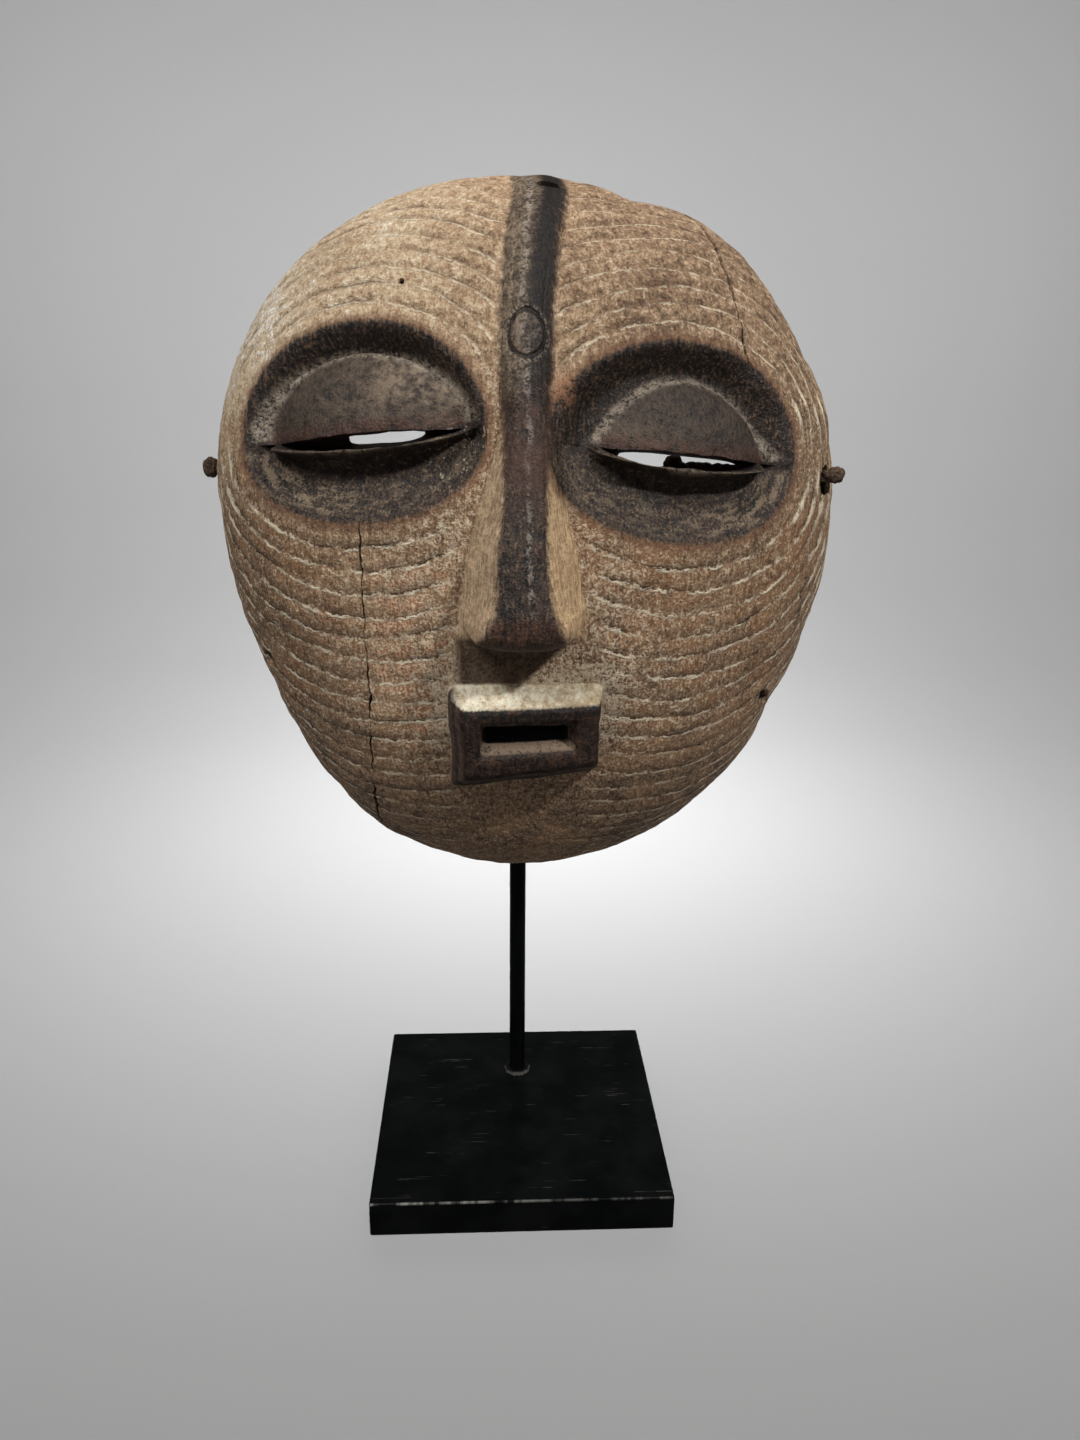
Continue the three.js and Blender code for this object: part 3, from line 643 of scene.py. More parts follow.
# The brow ridge runs down into the nose: places down the face, with half widths and heights there
RIDGE_Q = (152, 130, 105, 80, 58, 31, 8, -18, -38, -45, -51)
RIDGE_P = (10, 10, 6, 2.9, 2.4, 2.4, 1.8, 0.6, 0.9, 1.3, 1.0)
RIDGE_FRONT = (8, 8.4, 7.6, 6, 6, 6, 7.4, 9.8, 10.8, 14.5, 17.4)
RIDGE_FOOT = (12, 12.5, 11.5, 10, 10, 10, 15, 21.6, 24.6, 26, 26)
RIDGE_HEIGHT = (0.3, 2.2, 3.4, 4.0, 4.6, 6.5, 12.5, 20.5, 24.6, 25.3, 23.4)
RIDGE_CROWN = (0.4, 1.2, 1.5, 1.5, 1.2, 1.2, 1.2, 1.2, 1.4, 1.8, 2.0)
NOSE_TIP_Q = (-50.8, -52.2, -53.6, -54.7, -55.3)
NOSE_TIP_KEPT = (0.985, 0.95, 0.89, 0.80, 0.68)
NOSE_LIFT = 6
SUNK = 6


def down_ridge(q, values):
    """A measure of the ridge at a place down the face, eased between its stations."""
    return sum(np.interp(-(q + off), [-v for v in RIDGE_Q], values) for off in (-5, -2.5, 0, 2.5, 5)) / 5


def ridge_ring(q, kept=1.0):
    middle, front, foot, height, crown = (down_ridge(q, v) for v in (
        RIDGE_P, RIDGE_FRONT, RIDGE_FOOT, RIDGE_HEIGHT, RIDGE_CROWN))
    across = np.concatenate([np.linspace(-1, -front / foot, 9)[:-1], np.linspace(-1, 1, 17) * front / foot,
                             np.linspace(front / foot, 1, 9)[1:]]) * foot
    off = np.abs(across)
    flank = height * np.clip((foot - off) / (foot - front), 0, 1)
    top = height + crown * (1 - np.clip(off / front, 0, 1) ** 2)
    rounding = np.clip(1 - np.abs(off - front) / 1.6, 0, 1) ** 2 * min(0.9, 0.2 * height)
    rise = (np.where(off < front, top, flank) - rounding) * kept
    across = np.concatenate([[-foot], across, [foot]])
    lift = NOSE_LIFT * (across / foot) ** 2 * smooth(-q, 38, 50)
    return on_skin(middle + across, q + lift, np.concatenate([[-SUNK], rise, [-SUNK]]))


ridge_rings = [ridge_ring(q) for q in np.linspace(152, -50, 84)]
ridge_rings += [ridge_ring(q, kept) for q, kept in zip(NOSE_TIP_Q, NOSE_TIP_KEPT)]
ridge = loft("ridge", ridge_rings)

# The mouth: four-cornered outlines on the skin, by their sides and corners
MOUTH_FOOT = (-30.5, 35.5, -76.5, -76, -129, -120)
MOUTH_FACE = (-22.5, 32.6, -82, -80, -113.2, -106.8)
MOUTH_HEIGHT = 15
POCKET = (-16.2, 23.6, -87, -85.5, -103.2, -100.6)
POCKET_FLOOR = (-15.2, 21.2, -88.8, -87.3, -99.9, -97.6)
POCKET_DEPTH = 6.5
MOUTH_SLOT = (-14.6, 20.2, -92, -91, -99.4, -97.8)
SLOT_DEPTH = 52


def between(first, other, part):
    return tuple(a + (b - a) * part for a, b in zip(first, other))


def grown(outline, by):
    left, right, top_left, top_right, low_left, low_right = outline
    return left - by, right + by, top_left + by, top_right + by, low_left - by, low_right - by


def box_ring(outline, height, corner):
    """A four-cornered ring on the skin with rounded corners."""
    left, right, top_left, top_right, low_left, low_right = outline
    spots = np.array([(left, low_left), (right, low_right), (right, top_right), (left, top_left)], float)
    ring = []
    for i in range(4):
        here, before, after = spots[i], spots[i - 1], spots[(i + 1) % 4]
        start = here + (before - here) / np.linalg.norm(before - here) * corner
        finish = here + (after - here) / np.linalg.norm(after - here) * corner
        for t in (0, 0.25, 0.5, 0.75, 1):
            ring.append((1 - t) ** 2 * start + 2 * t * (1 - t) * here + t ** 2 * finish)
        following = after + (here - after) / np.linalg.norm(after - here) * corner
        for t in np.arange(1, 12) / 12:
            ring.append(finish + (following - finish) * t)
    ring = np.array(ring)
    return on_skin(ring[:, 0], ring[:, 1], height)


mouth_rings = [box_ring(grown(MOUTH_FOOT, 0.5), -SUNK, 4), box_ring(MOUTH_FOOT, -0.2, 4)]
mouth_rings += [box_ring(between(MOUTH_FOOT, MOUTH_FACE, part), MOUTH_HEIGHT * part, 4 - 2 * part)
                for part in (0.15, 0.3, 0.45, 0.6, 0.75, 0.86, 0.92)]
mouth_rings += [box_ring(grown(MOUTH_FACE, -by), MOUTH_HEIGHT - drop, 2)
                for by, drop in ((-0.1, 1.0), (0.4, 0.35), (1.3, 0))]
mouth_rings += [box_ring(between(grown(MOUTH_FACE, -1.3), grown(POCKET, 0.9), part), MOUTH_HEIGHT, 1.5)
                for part in (0.33, 0.66, 1)]
mouth_rings += [box_ring(POCKET, MOUTH_HEIGHT - 0.5, 1.2)]
mouth_rings += [box_ring(between(POCKET, POCKET_FLOOR, part), MOUTH_HEIGHT - POCKET_DEPTH * part, 1.2)
                for part in (0.35, 0.7, 1)]
mouth_rings += [box_ring(grown(POCKET_FLOOR, -by), MOUTH_HEIGHT - POCKET_DEPTH, 1) for by in (1, 3)]
mouth = loft("mouth", mouth_rings)
mouth_slot = loft("mouth_slot", [box_ring(MOUTH_SLOT, MOUTH_HEIGHT - SLOT_DEPTH, 1.4),
                                 box_ring(MOUTH_SLOT, MOUTH_HEIGHT - POCKET_DEPTH - 0.7, 1.4),
                                 box_ring(grown(MOUTH_SLOT, 0.5), MOUTH_HEIGHT - POCKET_DEPTH + 0.1, 1.4),
                                 box_ring(grown(MOUTH_SLOT, 0.5), MOUTH_HEIGHT, 1.4)])

# The hollow, adzed in short scooping cuts
WALL = {"front": 21, "crown": 19, "chin": 25, "temple": 30}


def hollow_ring(share, y, scoop):
    angle = np.linspace(0, 2 * math.pi, 150, endpoint=False)
    upright = np.where(np.sin(angle) > 0, WALL["crown"], WALL["chin"])
    wall = WALL["temple"] * np.cos(angle) ** 2 + upright * np.sin(angle) ** 2
    round_wall = np.abs(np.sin(11 * angle + 0.21 * y)) ** 0.5
    down_wall = np.abs(np.cos(0.23 * y + 2 * np.sin(3 * angle))) ** 0.4
    cut = scoop * (round_wall * down_wall)
    reach = share * (outline_radius(angle) - wall) + cut * min(1, share * 2)
    return np.stack([MIDDLE[0] + reach * np.cos(angle), np.full_like(angle, y),
                     MIDDLE[1] + reach * np.sin(angle)], -1)


deep = RIM_Y - FRONT_Y - WALL["front"]
hollow_rings = [hollow_ring(math.sin(turn) ** (2 / DOME_POWER),
                            RIM_Y - deep * math.cos(turn) ** (2 / DOME_POWER), 1.3)
                for turn in np.radians(np.concatenate([[4, 8], np.linspace(12, 88, 44)]))]
hollow_rings += [hollow_ring(1, RIM_Y, 0.8), hollow_ring(1.004, RIM_Y + 6, 0.8)]
hollow = loft("hollow", hollow_rings)

# The slits: pointed lenses in front that narrow to squarer throats in the wall
SLIT_HEIGHT, THROAT_HEIGHT = 6.8, 6.4
LEFT_THROAT = ((-60, -50, 380.7, 13.2), (-61.8, -20, 379.5, 14.2))
RIGHT_THROAT = ((66.5, -50, 369.6, 24), (71, -20, 368, 26))


def slit(name, eye, throat):
    cosine, sine = math.cos(eye["tilt"]), math.sin(eye["tilt"])
    turn = np.linspace(0, 2 * math.pi, 48, endpoint=False)
    drop = SLIT_HEIGHT * 0.35

    def lens(half, height):
        along = half * np.cos(turn)
        above = SLIT_HEIGHT / 2 * np.sign(np.sin(turn)) * (1 - np.cos(turn) ** 2) ** 0.8
        above = above + 0.25 * np.sin(along * 0.5 + eye["p"]) * (1 - np.cos(turn) ** 2)
        above = above - drop * (1 - np.cos(turn) ** 4)
        return on_skin(eye["p"] + along * cosine - above * sine,
                       eye["q"] + along * sine + above * cosine, height)

    half = eye["lid_half"] - 0.5
    rings = [lens(half, 4), lens(half * 0.97, -4), lens(half * 0.9, -10)]
    for x, y, z, half in throat:
        along = half * np.sign(np.cos(turn)) * np.abs(np.cos(turn)) ** 0.5
        above = THROAT_HEIGHT / 2 * np.sign(np.sin(turn)) * np.abs(np.sin(turn)) ** 0.5
        rings.append(np.stack([x + along * cosine - above * sine, np.full_like(along, y),
                               z + along * sine + above * cosine], -1))
    return loft(name, rings)


# Holes through the rim, one of them worn oval for a hanging cord
TOP_HOLE = {"p": 13, "q": 132.5, "half": 5.0, "high": 3.8, "depth": 30}
JAW_HOLES = ((-146.5, -30, 4.6, 5.0), (-39, -35, 5.2, 4.4))
TEMPLE_HOLES = (((-170, 3, 364), (-80, 3, 362), 4.8, 5.2), ((155, -41, 361.4), (95, -12, 361.4), 7.4, 6.8))


def hole(name, start, finish, wide, high):
    start, finish = np.array(start, float), np.array(finish, float)
    axis = (finish - start) / np.linalg.norm(finish - start)
    across = np.cross((0, 0, 1), axis)
    across = across / np.linalg.norm(across)
    up = np.cross(axis, across)
    turn = np.linspace(0, 2 * math.pi, 28, endpoint=False)
    worn = 1 + 0.05 * np.sin(3 * turn + wide) + 0.03 * np.sin(5 * turn)
    section = (worn * wide * np.cos(turn))[:, None] * across + (worn * high * np.sin(turn))[:, None] * up
    return loft(name, [start + section, finish + section])


start, finish = (on_skin(TOP_HOLE["p"], TOP_HOLE["q"], height) for height in (8, -TOP_HOLE["depth"]))
cutters = [hollow, slit("left_slit", LEFT_EYE, LEFT_THROAT), slit("right_slit", RIGHT_EYE, RIGHT_THROAT),
           mouth_slot, hole("top_hole", start, finish, TOP_HOLE["half"], TOP_HOLE["high"])]
for angle, y, wide, high in JAW_HOLES:
    turn = math.radians(angle)
    out = float(outline_radius(np.array(turn)))
    start, finish = ((MIDDLE[0] + reach * math.cos(turn), y, MIDDLE[1] + reach * math.sin(turn))
                     for reach in (out + 10, out - 55))
    cutters.append(hole("jaw_hole", start, finish, wide, high))
cutters += [hole("temple_hole", *sizes) for sizes in TEMPLE_HOLES]


# The two drying cracks and the worm hole in the forehead
def crack(name, path, opened, depth, wander):
    """A thin wedge along a wandering line on the skin, open by a share of its width along the way."""
    path = np.array(path, float)
    run = np.concatenate([[0], np.cumsum(np.hypot(*np.diff(path, axis=0).T))])
    along = np.arange(0, run[-1], 2.2)
    p, q = (np.interp(along, run, path[:, i]) for i in range(2))
    p = p + wander * (np.sin(0.35 * along) + 0.7 * np.sin(0.9 * along + 1) + 0.5 * np.sin(2.3 * along))
    half = np.interp(along, np.linspace(0, run[-1], len(opened)), opened) / 2
    half = np.maximum(0.06, half * (1 + 0.35 * np.sin(1.3 * along) + 0.25 * np.sin(3.1 * along)))
    deep_at = np.minimum(depth, 3 + 12 * half)
    rings = np.stack([on_skin(p - half, q, 1.5), on_skin(p + half, q, 1.5), on_skin(p, q, -deep_at)], axis=1)
    return loft(name, rings)


cutters += [crack("forehead_crack", ((84, 148), (88.5, 130.1), (91, 106), (95.5, 70.8), (98, 56)),
                  (2.8, 2.5, 2.2, 1.8, 1.2, 0.4), 14, 0.35),
            crack("cheek_crack", ((-65.5, -8), (-65.4, -50), (-65.4, -87), (-69, -135), (-74.5, -190)),
                  (0.5, 1.0, 0.7, 1.1, 0.9, 1.7, 1.2), 12, 0.3),
            hole("worm_hole", on_skin(-47.9, 86.8, 3), on_skin(-47.9, 86.8, -8), 0.9, 0.9)]

bpy.ops.object.select_all(action="DESELECT")
bpy.context.view_layer.objects.active = mask
for cut, parts in (("UNION", [ridge, mouth]), ("DIFFERENCE", cutters)):
    for part in parts:
        shaping = mask.modifiers.new("shaping", "BOOLEAN")
        shaping.operation = cut
        shaping.solver = "MANIFOLD"
        shaping.object = part
        bpy.ops.object.modifier_apply(modifier=shaping.name)
        bpy.data.objects.remove(part)

# Where each place of the finished carving lies on the skin, for the clay, the paint and the wear
count = len(mask.data.vertices)
places = np.empty(count * 3, np.float32)
mask.data.vertices.foreach_get("co", places)
places = places.reshape(-1, 3).astype(float) * 1000
skin = off_skin(places)
p, q, rise = skin.T
outward = np.zeros(count * 3, np.float32)
mask.data.vertices.foreach_get("normal", outward)
outward = outward.reshape(-1, 3)
knot = np.hypot((p - 2.2) / 7.2, (q - 63.5) / 8.8)
on_front = smooth(rise, -14, -11) * (places[:, 1] < RIM_Y - 3)
knot_ring, knot_boss = 0.9 * np.exp(-((knot - 1) / 0.12) ** 2), 0.5 * np.exp(-(knot / 0.75) ** 4)
worn = 0.4 * unevenness(p, q, 16) + 0.16 * unevenness(p, q, 5)
worn = worn - knot_ring * (rise > 1) + knot_boss * (rise > 1)
places = places + outward * (worn * on_front)[:, None]
low, high = np.array(solid_box) * 1000
places = np.clip(places, low + 0.1, high - 0.1)
mask.data.vertices.foreach_set("co", (places / 1000).astype(np.float32).reshape(-1))


def keep(name, values):
    """One number for each corner of the mask, for its material."""
    mask.data.attributes.new(name, "FLOAT", "POINT").data.foreach_set("value", np.asarray(values, np.float32))


def tapered(outline, low, high):
    """Upper and lower edge of a four-cornered outline at each place across it."""
    left, right, first, second = outline[0], outline[1], outline[low], outline[high]
    return first + (second - first) * (p - left) / (right - left)


keep("across", p)
keep("up", q)
keep("rise", rise)
for side, eye in (("left", LEFT_EYE), ("right", RIGHT_EYE)):
    row, slope = groove_rows(eye, p, q)
    keep(side + "_row", row)
    keep(side + "_slope", slope)
is_left = p < -1.8
eye_sides = [np.where(is_left, a, b) for a, b in zip(eye_parts(LEFT_EYE, p, q), eye_parts(RIGHT_EYE, p, q))]
keep("along", eye_sides[0])
keep("above", eye_sides[1])
keep("lid", np.clip(eye_sides[3], 0, 3))
keep("under", np.clip(eye_sides[4], -1, 2))
keep("knot", knot)
down = [-v for v in RIDGE_Q]
off_ridge = p - np.interp(-q, down, RIDGE_P)
keep("ridge", off_ridge / np.interp(-q, down, (13.5, 13, 12, 11.5, 11.5, 10, 8.6, 10.4, 11.6, 15, 18)))
keep("flank", off_ridge / np.interp(-q, down, RIDGE_FOOT))
keep("mouth", -np.max([MOUTH_FOOT[0] - 0.8 - p, p - MOUTH_FOOT[1] - 0.8, q - tapered(MOUTH_FOOT, 2, 3),
                       tapered(MOUTH_FOOT, 4, 5) - q], axis=0))
keep("above_face", q - tapered(MOUTH_FACE, 2, 3))
keep("beside_face", np.maximum(MOUTH_FACE[0] - p, p - MOUTH_FACE[1]))
keep("below_slot", tapered(MOUTH_SLOT, 4, 5) - q)
keep("in_pocket", -np.max([POCKET[0] - p, p - POCKET[1], q - tapered(POCKET, 2, 3),
                           tapered(POCKET, 4, 5) - q], axis=0))

wood = Finish("carved_wood")
here = wood.place()
across, up, height = (wood.attribute(name) for name in ("across", "up", "rise"))
face = wood.node("ShaderNodeCombineXYZ", {}, {0: across, 1: up, 2: height * 0.6})
right_side = across.step(-1.9, -1.7)
row = wood.attribute("left_row") * (1 - right_side) + wood.attribute("right_row") * right_side
slope = wood.attribute("left_slope") * (1 - right_side) + wood.attribute("right_slope") * right_side
normal_y = wood.node("ShaderNodeSeparateXYZ", {}, {0: wood.node("ShaderNodeNewGeometry", {}, {}, 1)}, 1)
hidden = normal_y.step(0.55, 0.8).maths("MAXIMUM", height.step(-12.5, -15))

broad = wood.noise(face, 0.022, 3.0, 0.5)
blotch = wood.noise(face, 0.075, 4.0, 0.6)
mottle = wood.noise(face, 0.3, 4.0, 0.65)
speckle = wood.noise(here, 0.9, 3.0, 0.7)
streak = wood.noise(wood.place((1.0, 1.0, 0.10)), 0.8, 4.0, 0.65)
fleck = wood.noise(wood.place((2.4, 2.4, 0.45)), 0.9, 2.0, 0.5)
grit = mottle * 0.5 + speckle * 0.5

# Bare wood, from pale tan on the left of the forehead to dark brown on the chin; the darkening towards the
# chin is partly painted shade
low_face = up.step(-70, -165)
left_forehead = up.step(10, 70) * across.step(0, -60)
right_half = across.step(0, 60) * (0.04 + up.step(10, 60) * 0.10)
left_temple = up.step(0, 40) * across.step(-85, -125)
inner_cheek = across.step(-20, -34) * across.step(-80, -62) * up.step(-16, -30) * up.step(-115, -95)
outer_cheek = up.step(10, -30) * across.step(-70, -120)
place_tone = (up.step(20, 80, 0.48, 0.53) + left_forehead * 0.12 - right_half - low_face * 0.13
              + left_temple * 0.13 + inner_cheek * 0.07 - outer_cheek * 0.08)
on_brow = up.step(38, 52)
tone = (place_tone + (broad - 0.5) * 0.28 + (blotch - 0.5) * 0.34 + (mottle - 0.5) * (0.55 + on_brow * 0.1)
        + (speckle - 0.5) * (1.05 - on_brow * 0.45) + (streak - 0.5) * 0.6)
tan = wood.node("ShaderNodeValToRGB", {"stops": (
    (0.0, srgb(38, 27, 19)), (1.0, srgb(238, 226, 202)), (0.22, srgb(86, 66, 50)), (0.42, srgb(142, 114, 87)),
    (0.60, srgb(180, 152, 120)), (0.80, srgb(212, 192, 162)))}, {0: tone})
orange = (broad * 0.5 + wood.noise(face, 0.05, 2.0, 0.5) * 0.5).step(0.50, 0.62)
orange = orange * up.step(60, 20) * up.step(-130, -80)
tan = (orange * 0.45).mix(tan, wood.node("ShaderNodeMix", {"data_type": "RGBA", "blend_type": "MULTIPLY"},
                                         {0: 1.0, 6: tan, 7: srgb(236, 198, 164)}, 2))
tan = (fleck.step(0.60, 0.70) * 0.45).mix(tan, srgb(66, 48, 34))

# Grooves: a faint broken dark line of painted shade in each, with white clay and a painted highlight along
# the side that faces up
flank = wood.attribute("flank").maths("ABSOLUTE")
off_nose = (flank + (mottle - 0.5) * 0.12).step(0.98, 1.06).maths("MAXIMUM", up.step(-54, -57))
off_mouth = wood.attribute("mouth").step(1.2, 0.0)
plain = row.step(0.5, 0.75) * off_nose * off_mouth * height.step(-3.5, -2) * (flank + blotch).step(1.5, 2.0)
wander = (mottle - 0.5) * 0.36 + (blotch - 0.5) * 0.25 + (speckle - 0.5) * 0.14
off = row + wander - (row + wander).maths("ROUND")
one_row = wood.node("ShaderNodeCombineXYZ", {}, {0: across, 1: up * 0.35, 2: row.maths("ROUND") * 9.0})
uneven_cut = wood.noise(one_row, 0.045, 3.0, 0.6)
dashes = wood.noise(one_row, 0.16, 2.0, 0.5)
# The dark line at the bottom of each groove is painted shade.
line = off.maths("ABSOLUTE").step(0.07, 0.0) * plain * uneven_cut.step(0.46, 0.60) * (1 - on_brow * 0.5)
band = off.maths("ABSOLUTE").step(0.34, 0.04) * plain * uneven_cut.step(0.30, 0.55)
# White clay on the side of each groove that faces up, with a painted highlight there.
lit_side = off * slope
clay_and_highlight = (((lit_side + 0.09) * 12.0).maths("ABSOLUTE").step(1.0, 0.35) * plain
        * (dashes * 0.7 + speckle * 0.3).step(0.42, 0.56))
brown_block = (off.maths("ABSOLUTE").step(0.10, 0.30) * (dashes * 0.6 + blotch * 0.4).step(0.47, 0.55) * plain
               * up.step(20, 0) * up.step(-130, -90))
worn_wood = (streak * 0.6 + speckle * 0.4).step(0.40, 0.62).mix(srgb(104, 70, 45), srgb(166, 127, 90))
tan = (brown_block * 0.72).mix(tan, worn_wood)
by_crack = across.step(-66, -60) * across.step(-18, -34) * up.step(-20, -34) * up.step(-112, -92)
pink_block = (off.maths("ABSOLUTE").step(0.08, 0.24) * (dashes * 0.5 + mottle * 0.5).step(0.46, 0.53)
              * plain * by_crack)
pink_wood = (streak * 0.5 + speckle * 0.5).step(0.42, 0.58).mix(srgb(138, 92, 62), srgb(216, 171, 134))
tan = (pink_block * 0.75).mix(tan, pink_wood)
tan = (band * 0.28).mix(tan, srgb(104, 78, 56))
# Painted shade along the groove bottoms, then the clay with its painted highlight.
tan = (line * 0.75).mix(tan, srgb(52, 37, 27))
tan = (clay_and_highlight * (0.86 - on_brow * 0.40) * (1 - low_face * 0.45)).mix(tan, srgb(234, 219, 190))
by_nose = flank.step(3.6, 1.1) * up.step(40, 0) * up.step(-120, -90)
by_mouth = wood.attribute("mouth").step(-14, -2) * up.step(-125, -100)
dusting = (blotch * 0.15 + mottle * 0.35 + speckle * 0.5 + by_nose * 0.05 + by_mouth * 0.05).step(0.53, 0.62)
tan = (dusting * up.step(-150, -90) * (1 - on_brow * 0.5) * 0.58).mix(tan, srgb(216, 201, 176))
worn_brown = (broad * 0.4 + blotch * 0.6).step(0.46, 0.60) * up.step(10, -15)
tan = (worn_brown * grit.step(0.62, 0.48) * 0.45).mix(tan, srgb(134, 96, 64))
# Painted shadow of the nose: a dark patch under it, its right edge slanting down to the left like the cast
# shadow.
painted_nose_shadow = up.step(-52, -56) * up.step(-84, -78) * across.step(-28, -24) * off_mouth
painted_nose_shadow = painted_nose_shadow * (across - (up + 57) * 1.25).step(27, 20)
tan = (painted_nose_shadow * 0.9).mix(tan, grit.step(0.38, 0.62).mix(srgb(48, 34, 24), srgb(80, 58, 42)))
cheek_side = (1 - off_nose) * up.step(30, 10)
# The right flank of the nose gets a lighter tone than the left: painted light, as it faces the light.
side_tone = wood.attribute("flank").step(-0.2, 0.2).mix(srgb(212, 182, 146), srgb(226, 190, 144))
side_grain = (streak * 0.5 + mottle * 0.3 + speckle * 0.2).step(0.58, 0.42)
side_tone = (side_grain * 0.6).mix(side_tone, srgb(112, 84, 60))
tan = (cheek_side * 0.8).mix(tan, side_tone)

# Black paint, brushed on the sockets, the ridge and the mouth, and worn through to brown
ragged = (mottle - 0.5) * 0.6 + (streak - 0.5) * 0.9
thin = streak * 0.5 + mottle * 0.2 + speckle * 0.3
black = thin.step(0.42, 0.64).mix(srgb(16, 11, 8), srgb(80, 61, 46))
black = (blotch.step(0.5, 0.7) * 0.35).mix(black, srgb(62, 40, 29))
black = ((speckle * 0.7 + mottle * 0.3).step(0.54, 0.64) * 0.45).mix(black, srgb(144, 119, 93))
scorched = (row + ragged * 0.25).step(0.62, 0.0) * row.step(-1, -0.5) * height.step(-6, -3)
tan = (scorched * 0.75).mix(tan, srgb(104, 70, 47))
socket_paint = (row + ragged * 0.36).step(0.14, -0.16)
ridge_at = wood.attribute("ridge")
ridge_paint = ((ridge_at.maths("ABSOLUTE") + ragged * 0.2).step(1.10, 0.78) * up.step(-61, -58)
               * height.step(-2, -0.5))
in_mouth = wood.attribute("mouth")
mouth_paint = (in_mouth + ragged * 2.4).step(-0.4, 0.8) * height.step(0.6, 2.0)
cream = ((wood.attribute("above_face") + ragged * 1.2).step(-0.2, 0.8) * (in_mouth + 1.5).step(0.0, 2.0)
         * (wood.attribute("beside_face") + ragged * 2).step(6.5, 3.5))
painted = socket_paint.maths("MAXIMUM", ridge_paint).maths("MAXIMUM", mouth_paint)
colour = painted.mix(tan, black)

# The lids: grey over the black, partly dust and partly painted light, with a light edge along the crease
# that is partly wear and partly painted highlight, and the thin ledge under each slit
lid, under, along, above = (wood.attribute(name) for name in ("lid", "under", "along", "above"))
# The brow wall inside each socket is darkened further, partly blacker paint and partly painted shade.
brow = lid.step(1.02, 1.10) * above.step(-1, 7) * socket_paint
colour = (brow * (streak * 0.6 + speckle * 0.4).step(0.56, 0.44) * 0.5).mix(colour, srgb(16, 10, 8))
colour = (brow * (streak * 0.7 + speckle * 0.3).step(0.54, 0.62) * 0.5).mix(colour, srgb(112, 84, 62))
down_rows = wood.node("ShaderNodeCombineXYZ", {}, {0: across * 0.30, 1: row * 9.0, 2: 0.0})
scratches = wood.noise(down_rows, 0.35, 3.0, 0.6)
on_lid = lid.step(1.02, 0.94) * above.step(1.0, 3.0) * socket_paint
# On the left lid the grey is strongest towards its upper right end: partly dust, partly painted light where
# the lid faces the light.
dust_and_light_left = along.step(-20, 22, 0.30, 0.95) * above.step(2, 16, 0.55, 1.0)
dust_right = along.step(8, -22) * above.step(16, 5) * 0.45 + 0.10
dust_and_light = dust_and_light_left * (1 - right_side) + right_side * dust_right
dusty = (blotch * 0.45 + mottle * 0.30 + speckle * 0.25).step(0.40, 0.62)
dusty = dusty.mix(srgb(56, 44, 34), srgb(140, 119, 97))
colour = (on_lid * 0.8).mix(colour, thin.step(0.38, 0.66).mix(srgb(30, 23, 19), srgb(76, 62, 51)))
colour = (on_lid * dust_and_light * 0.85).mix(colour, dusty)
colour = (on_lid * (speckle * 0.6 + mottle * 0.4).step(0.48, 0.70) * 0.55).mix(colour, srgb(38, 28, 22))
# A paler patch at the upper right end of the left lid: painted light.
pale_end = on_lid * (along - 20).step(-14, 4) * above.step(6, 20) * (1 - right_side)
colour = (pale_end * (mottle * 0.5 + blotch * 0.5).step(0.38, 0.60) * 0.45).mix(colour, srgb(158, 140, 118))
slit_edge = (above.step(8.5, 2.5) * above.step(-1.0, 0.5) * lid.step(1, 0.9) * socket_paint
             * mottle.step(0.34, 0.52))
colour = (slit_edge * 0.55).mix(colour, srgb(78, 44, 33))
# The light line along each lid's crease: partly wear, partly a painted highlight where the edge catches the
# light.
arris = lid.step(0.89, 0.98) * lid.step(1.08, 1.0) * socket_paint * above.step(0.5, 3.0)
colour = (arris * grit.step(0.40, 0.56) * 0.75).mix(colour, srgb(164, 150, 132))
# Painted shade: near-black in each slit and on the strip under the lid down to the ledge.
slit_shade = under.step(-0.12, -0.2) * above.step(1.5, -0.5) * socket_paint
colour = (slit_shade * 0.85).mix(colour, srgb(22, 15, 12))
# A painted highlight: a light line along the thin ledge under each slit.
ledge = (under.step(-0.10, -0.03) * under.step(0.065, 0.03) * along.maths("ABSOLUTE").step(46, 36)
         * socket_paint)
colour = (ledge * mottle.step(0.38, 0.52) * 0.42).mix(colour, srgb(120, 102, 84))
# Painted shade in the hollow under each ledge.
recess_shade = under.step(0.05, 0.13) * under.step(0.62, 0.34) * socket_paint
colour = (recess_shade * grit.step(0.62, 0.44) * 0.55).mix(colour, srgb(26, 17, 12))
outer = along.step(10, -40) * (1 - right_side) + along.step(-10, 40) * right_side
lower = under.step(0.34, 0.6) * under.step(1.0, 0.84) * socket_paint * above.step(-1, -7)
lower = lower * (scratches * 0.6 + speckle * 0.4).step(0.46, 0.60) * (outer * 0.4 + 0.28)
colour = lower.mix(colour, srgb(150, 130, 105))
chipped = along.step(18, 40) * above.step(4, -3) * above.step(-28, -16) * (1 - right_side)
colour = (chipped * socket_paint * grit.step(0.56, 0.62) * 0.85).mix(colour, srgb(200, 186, 162))

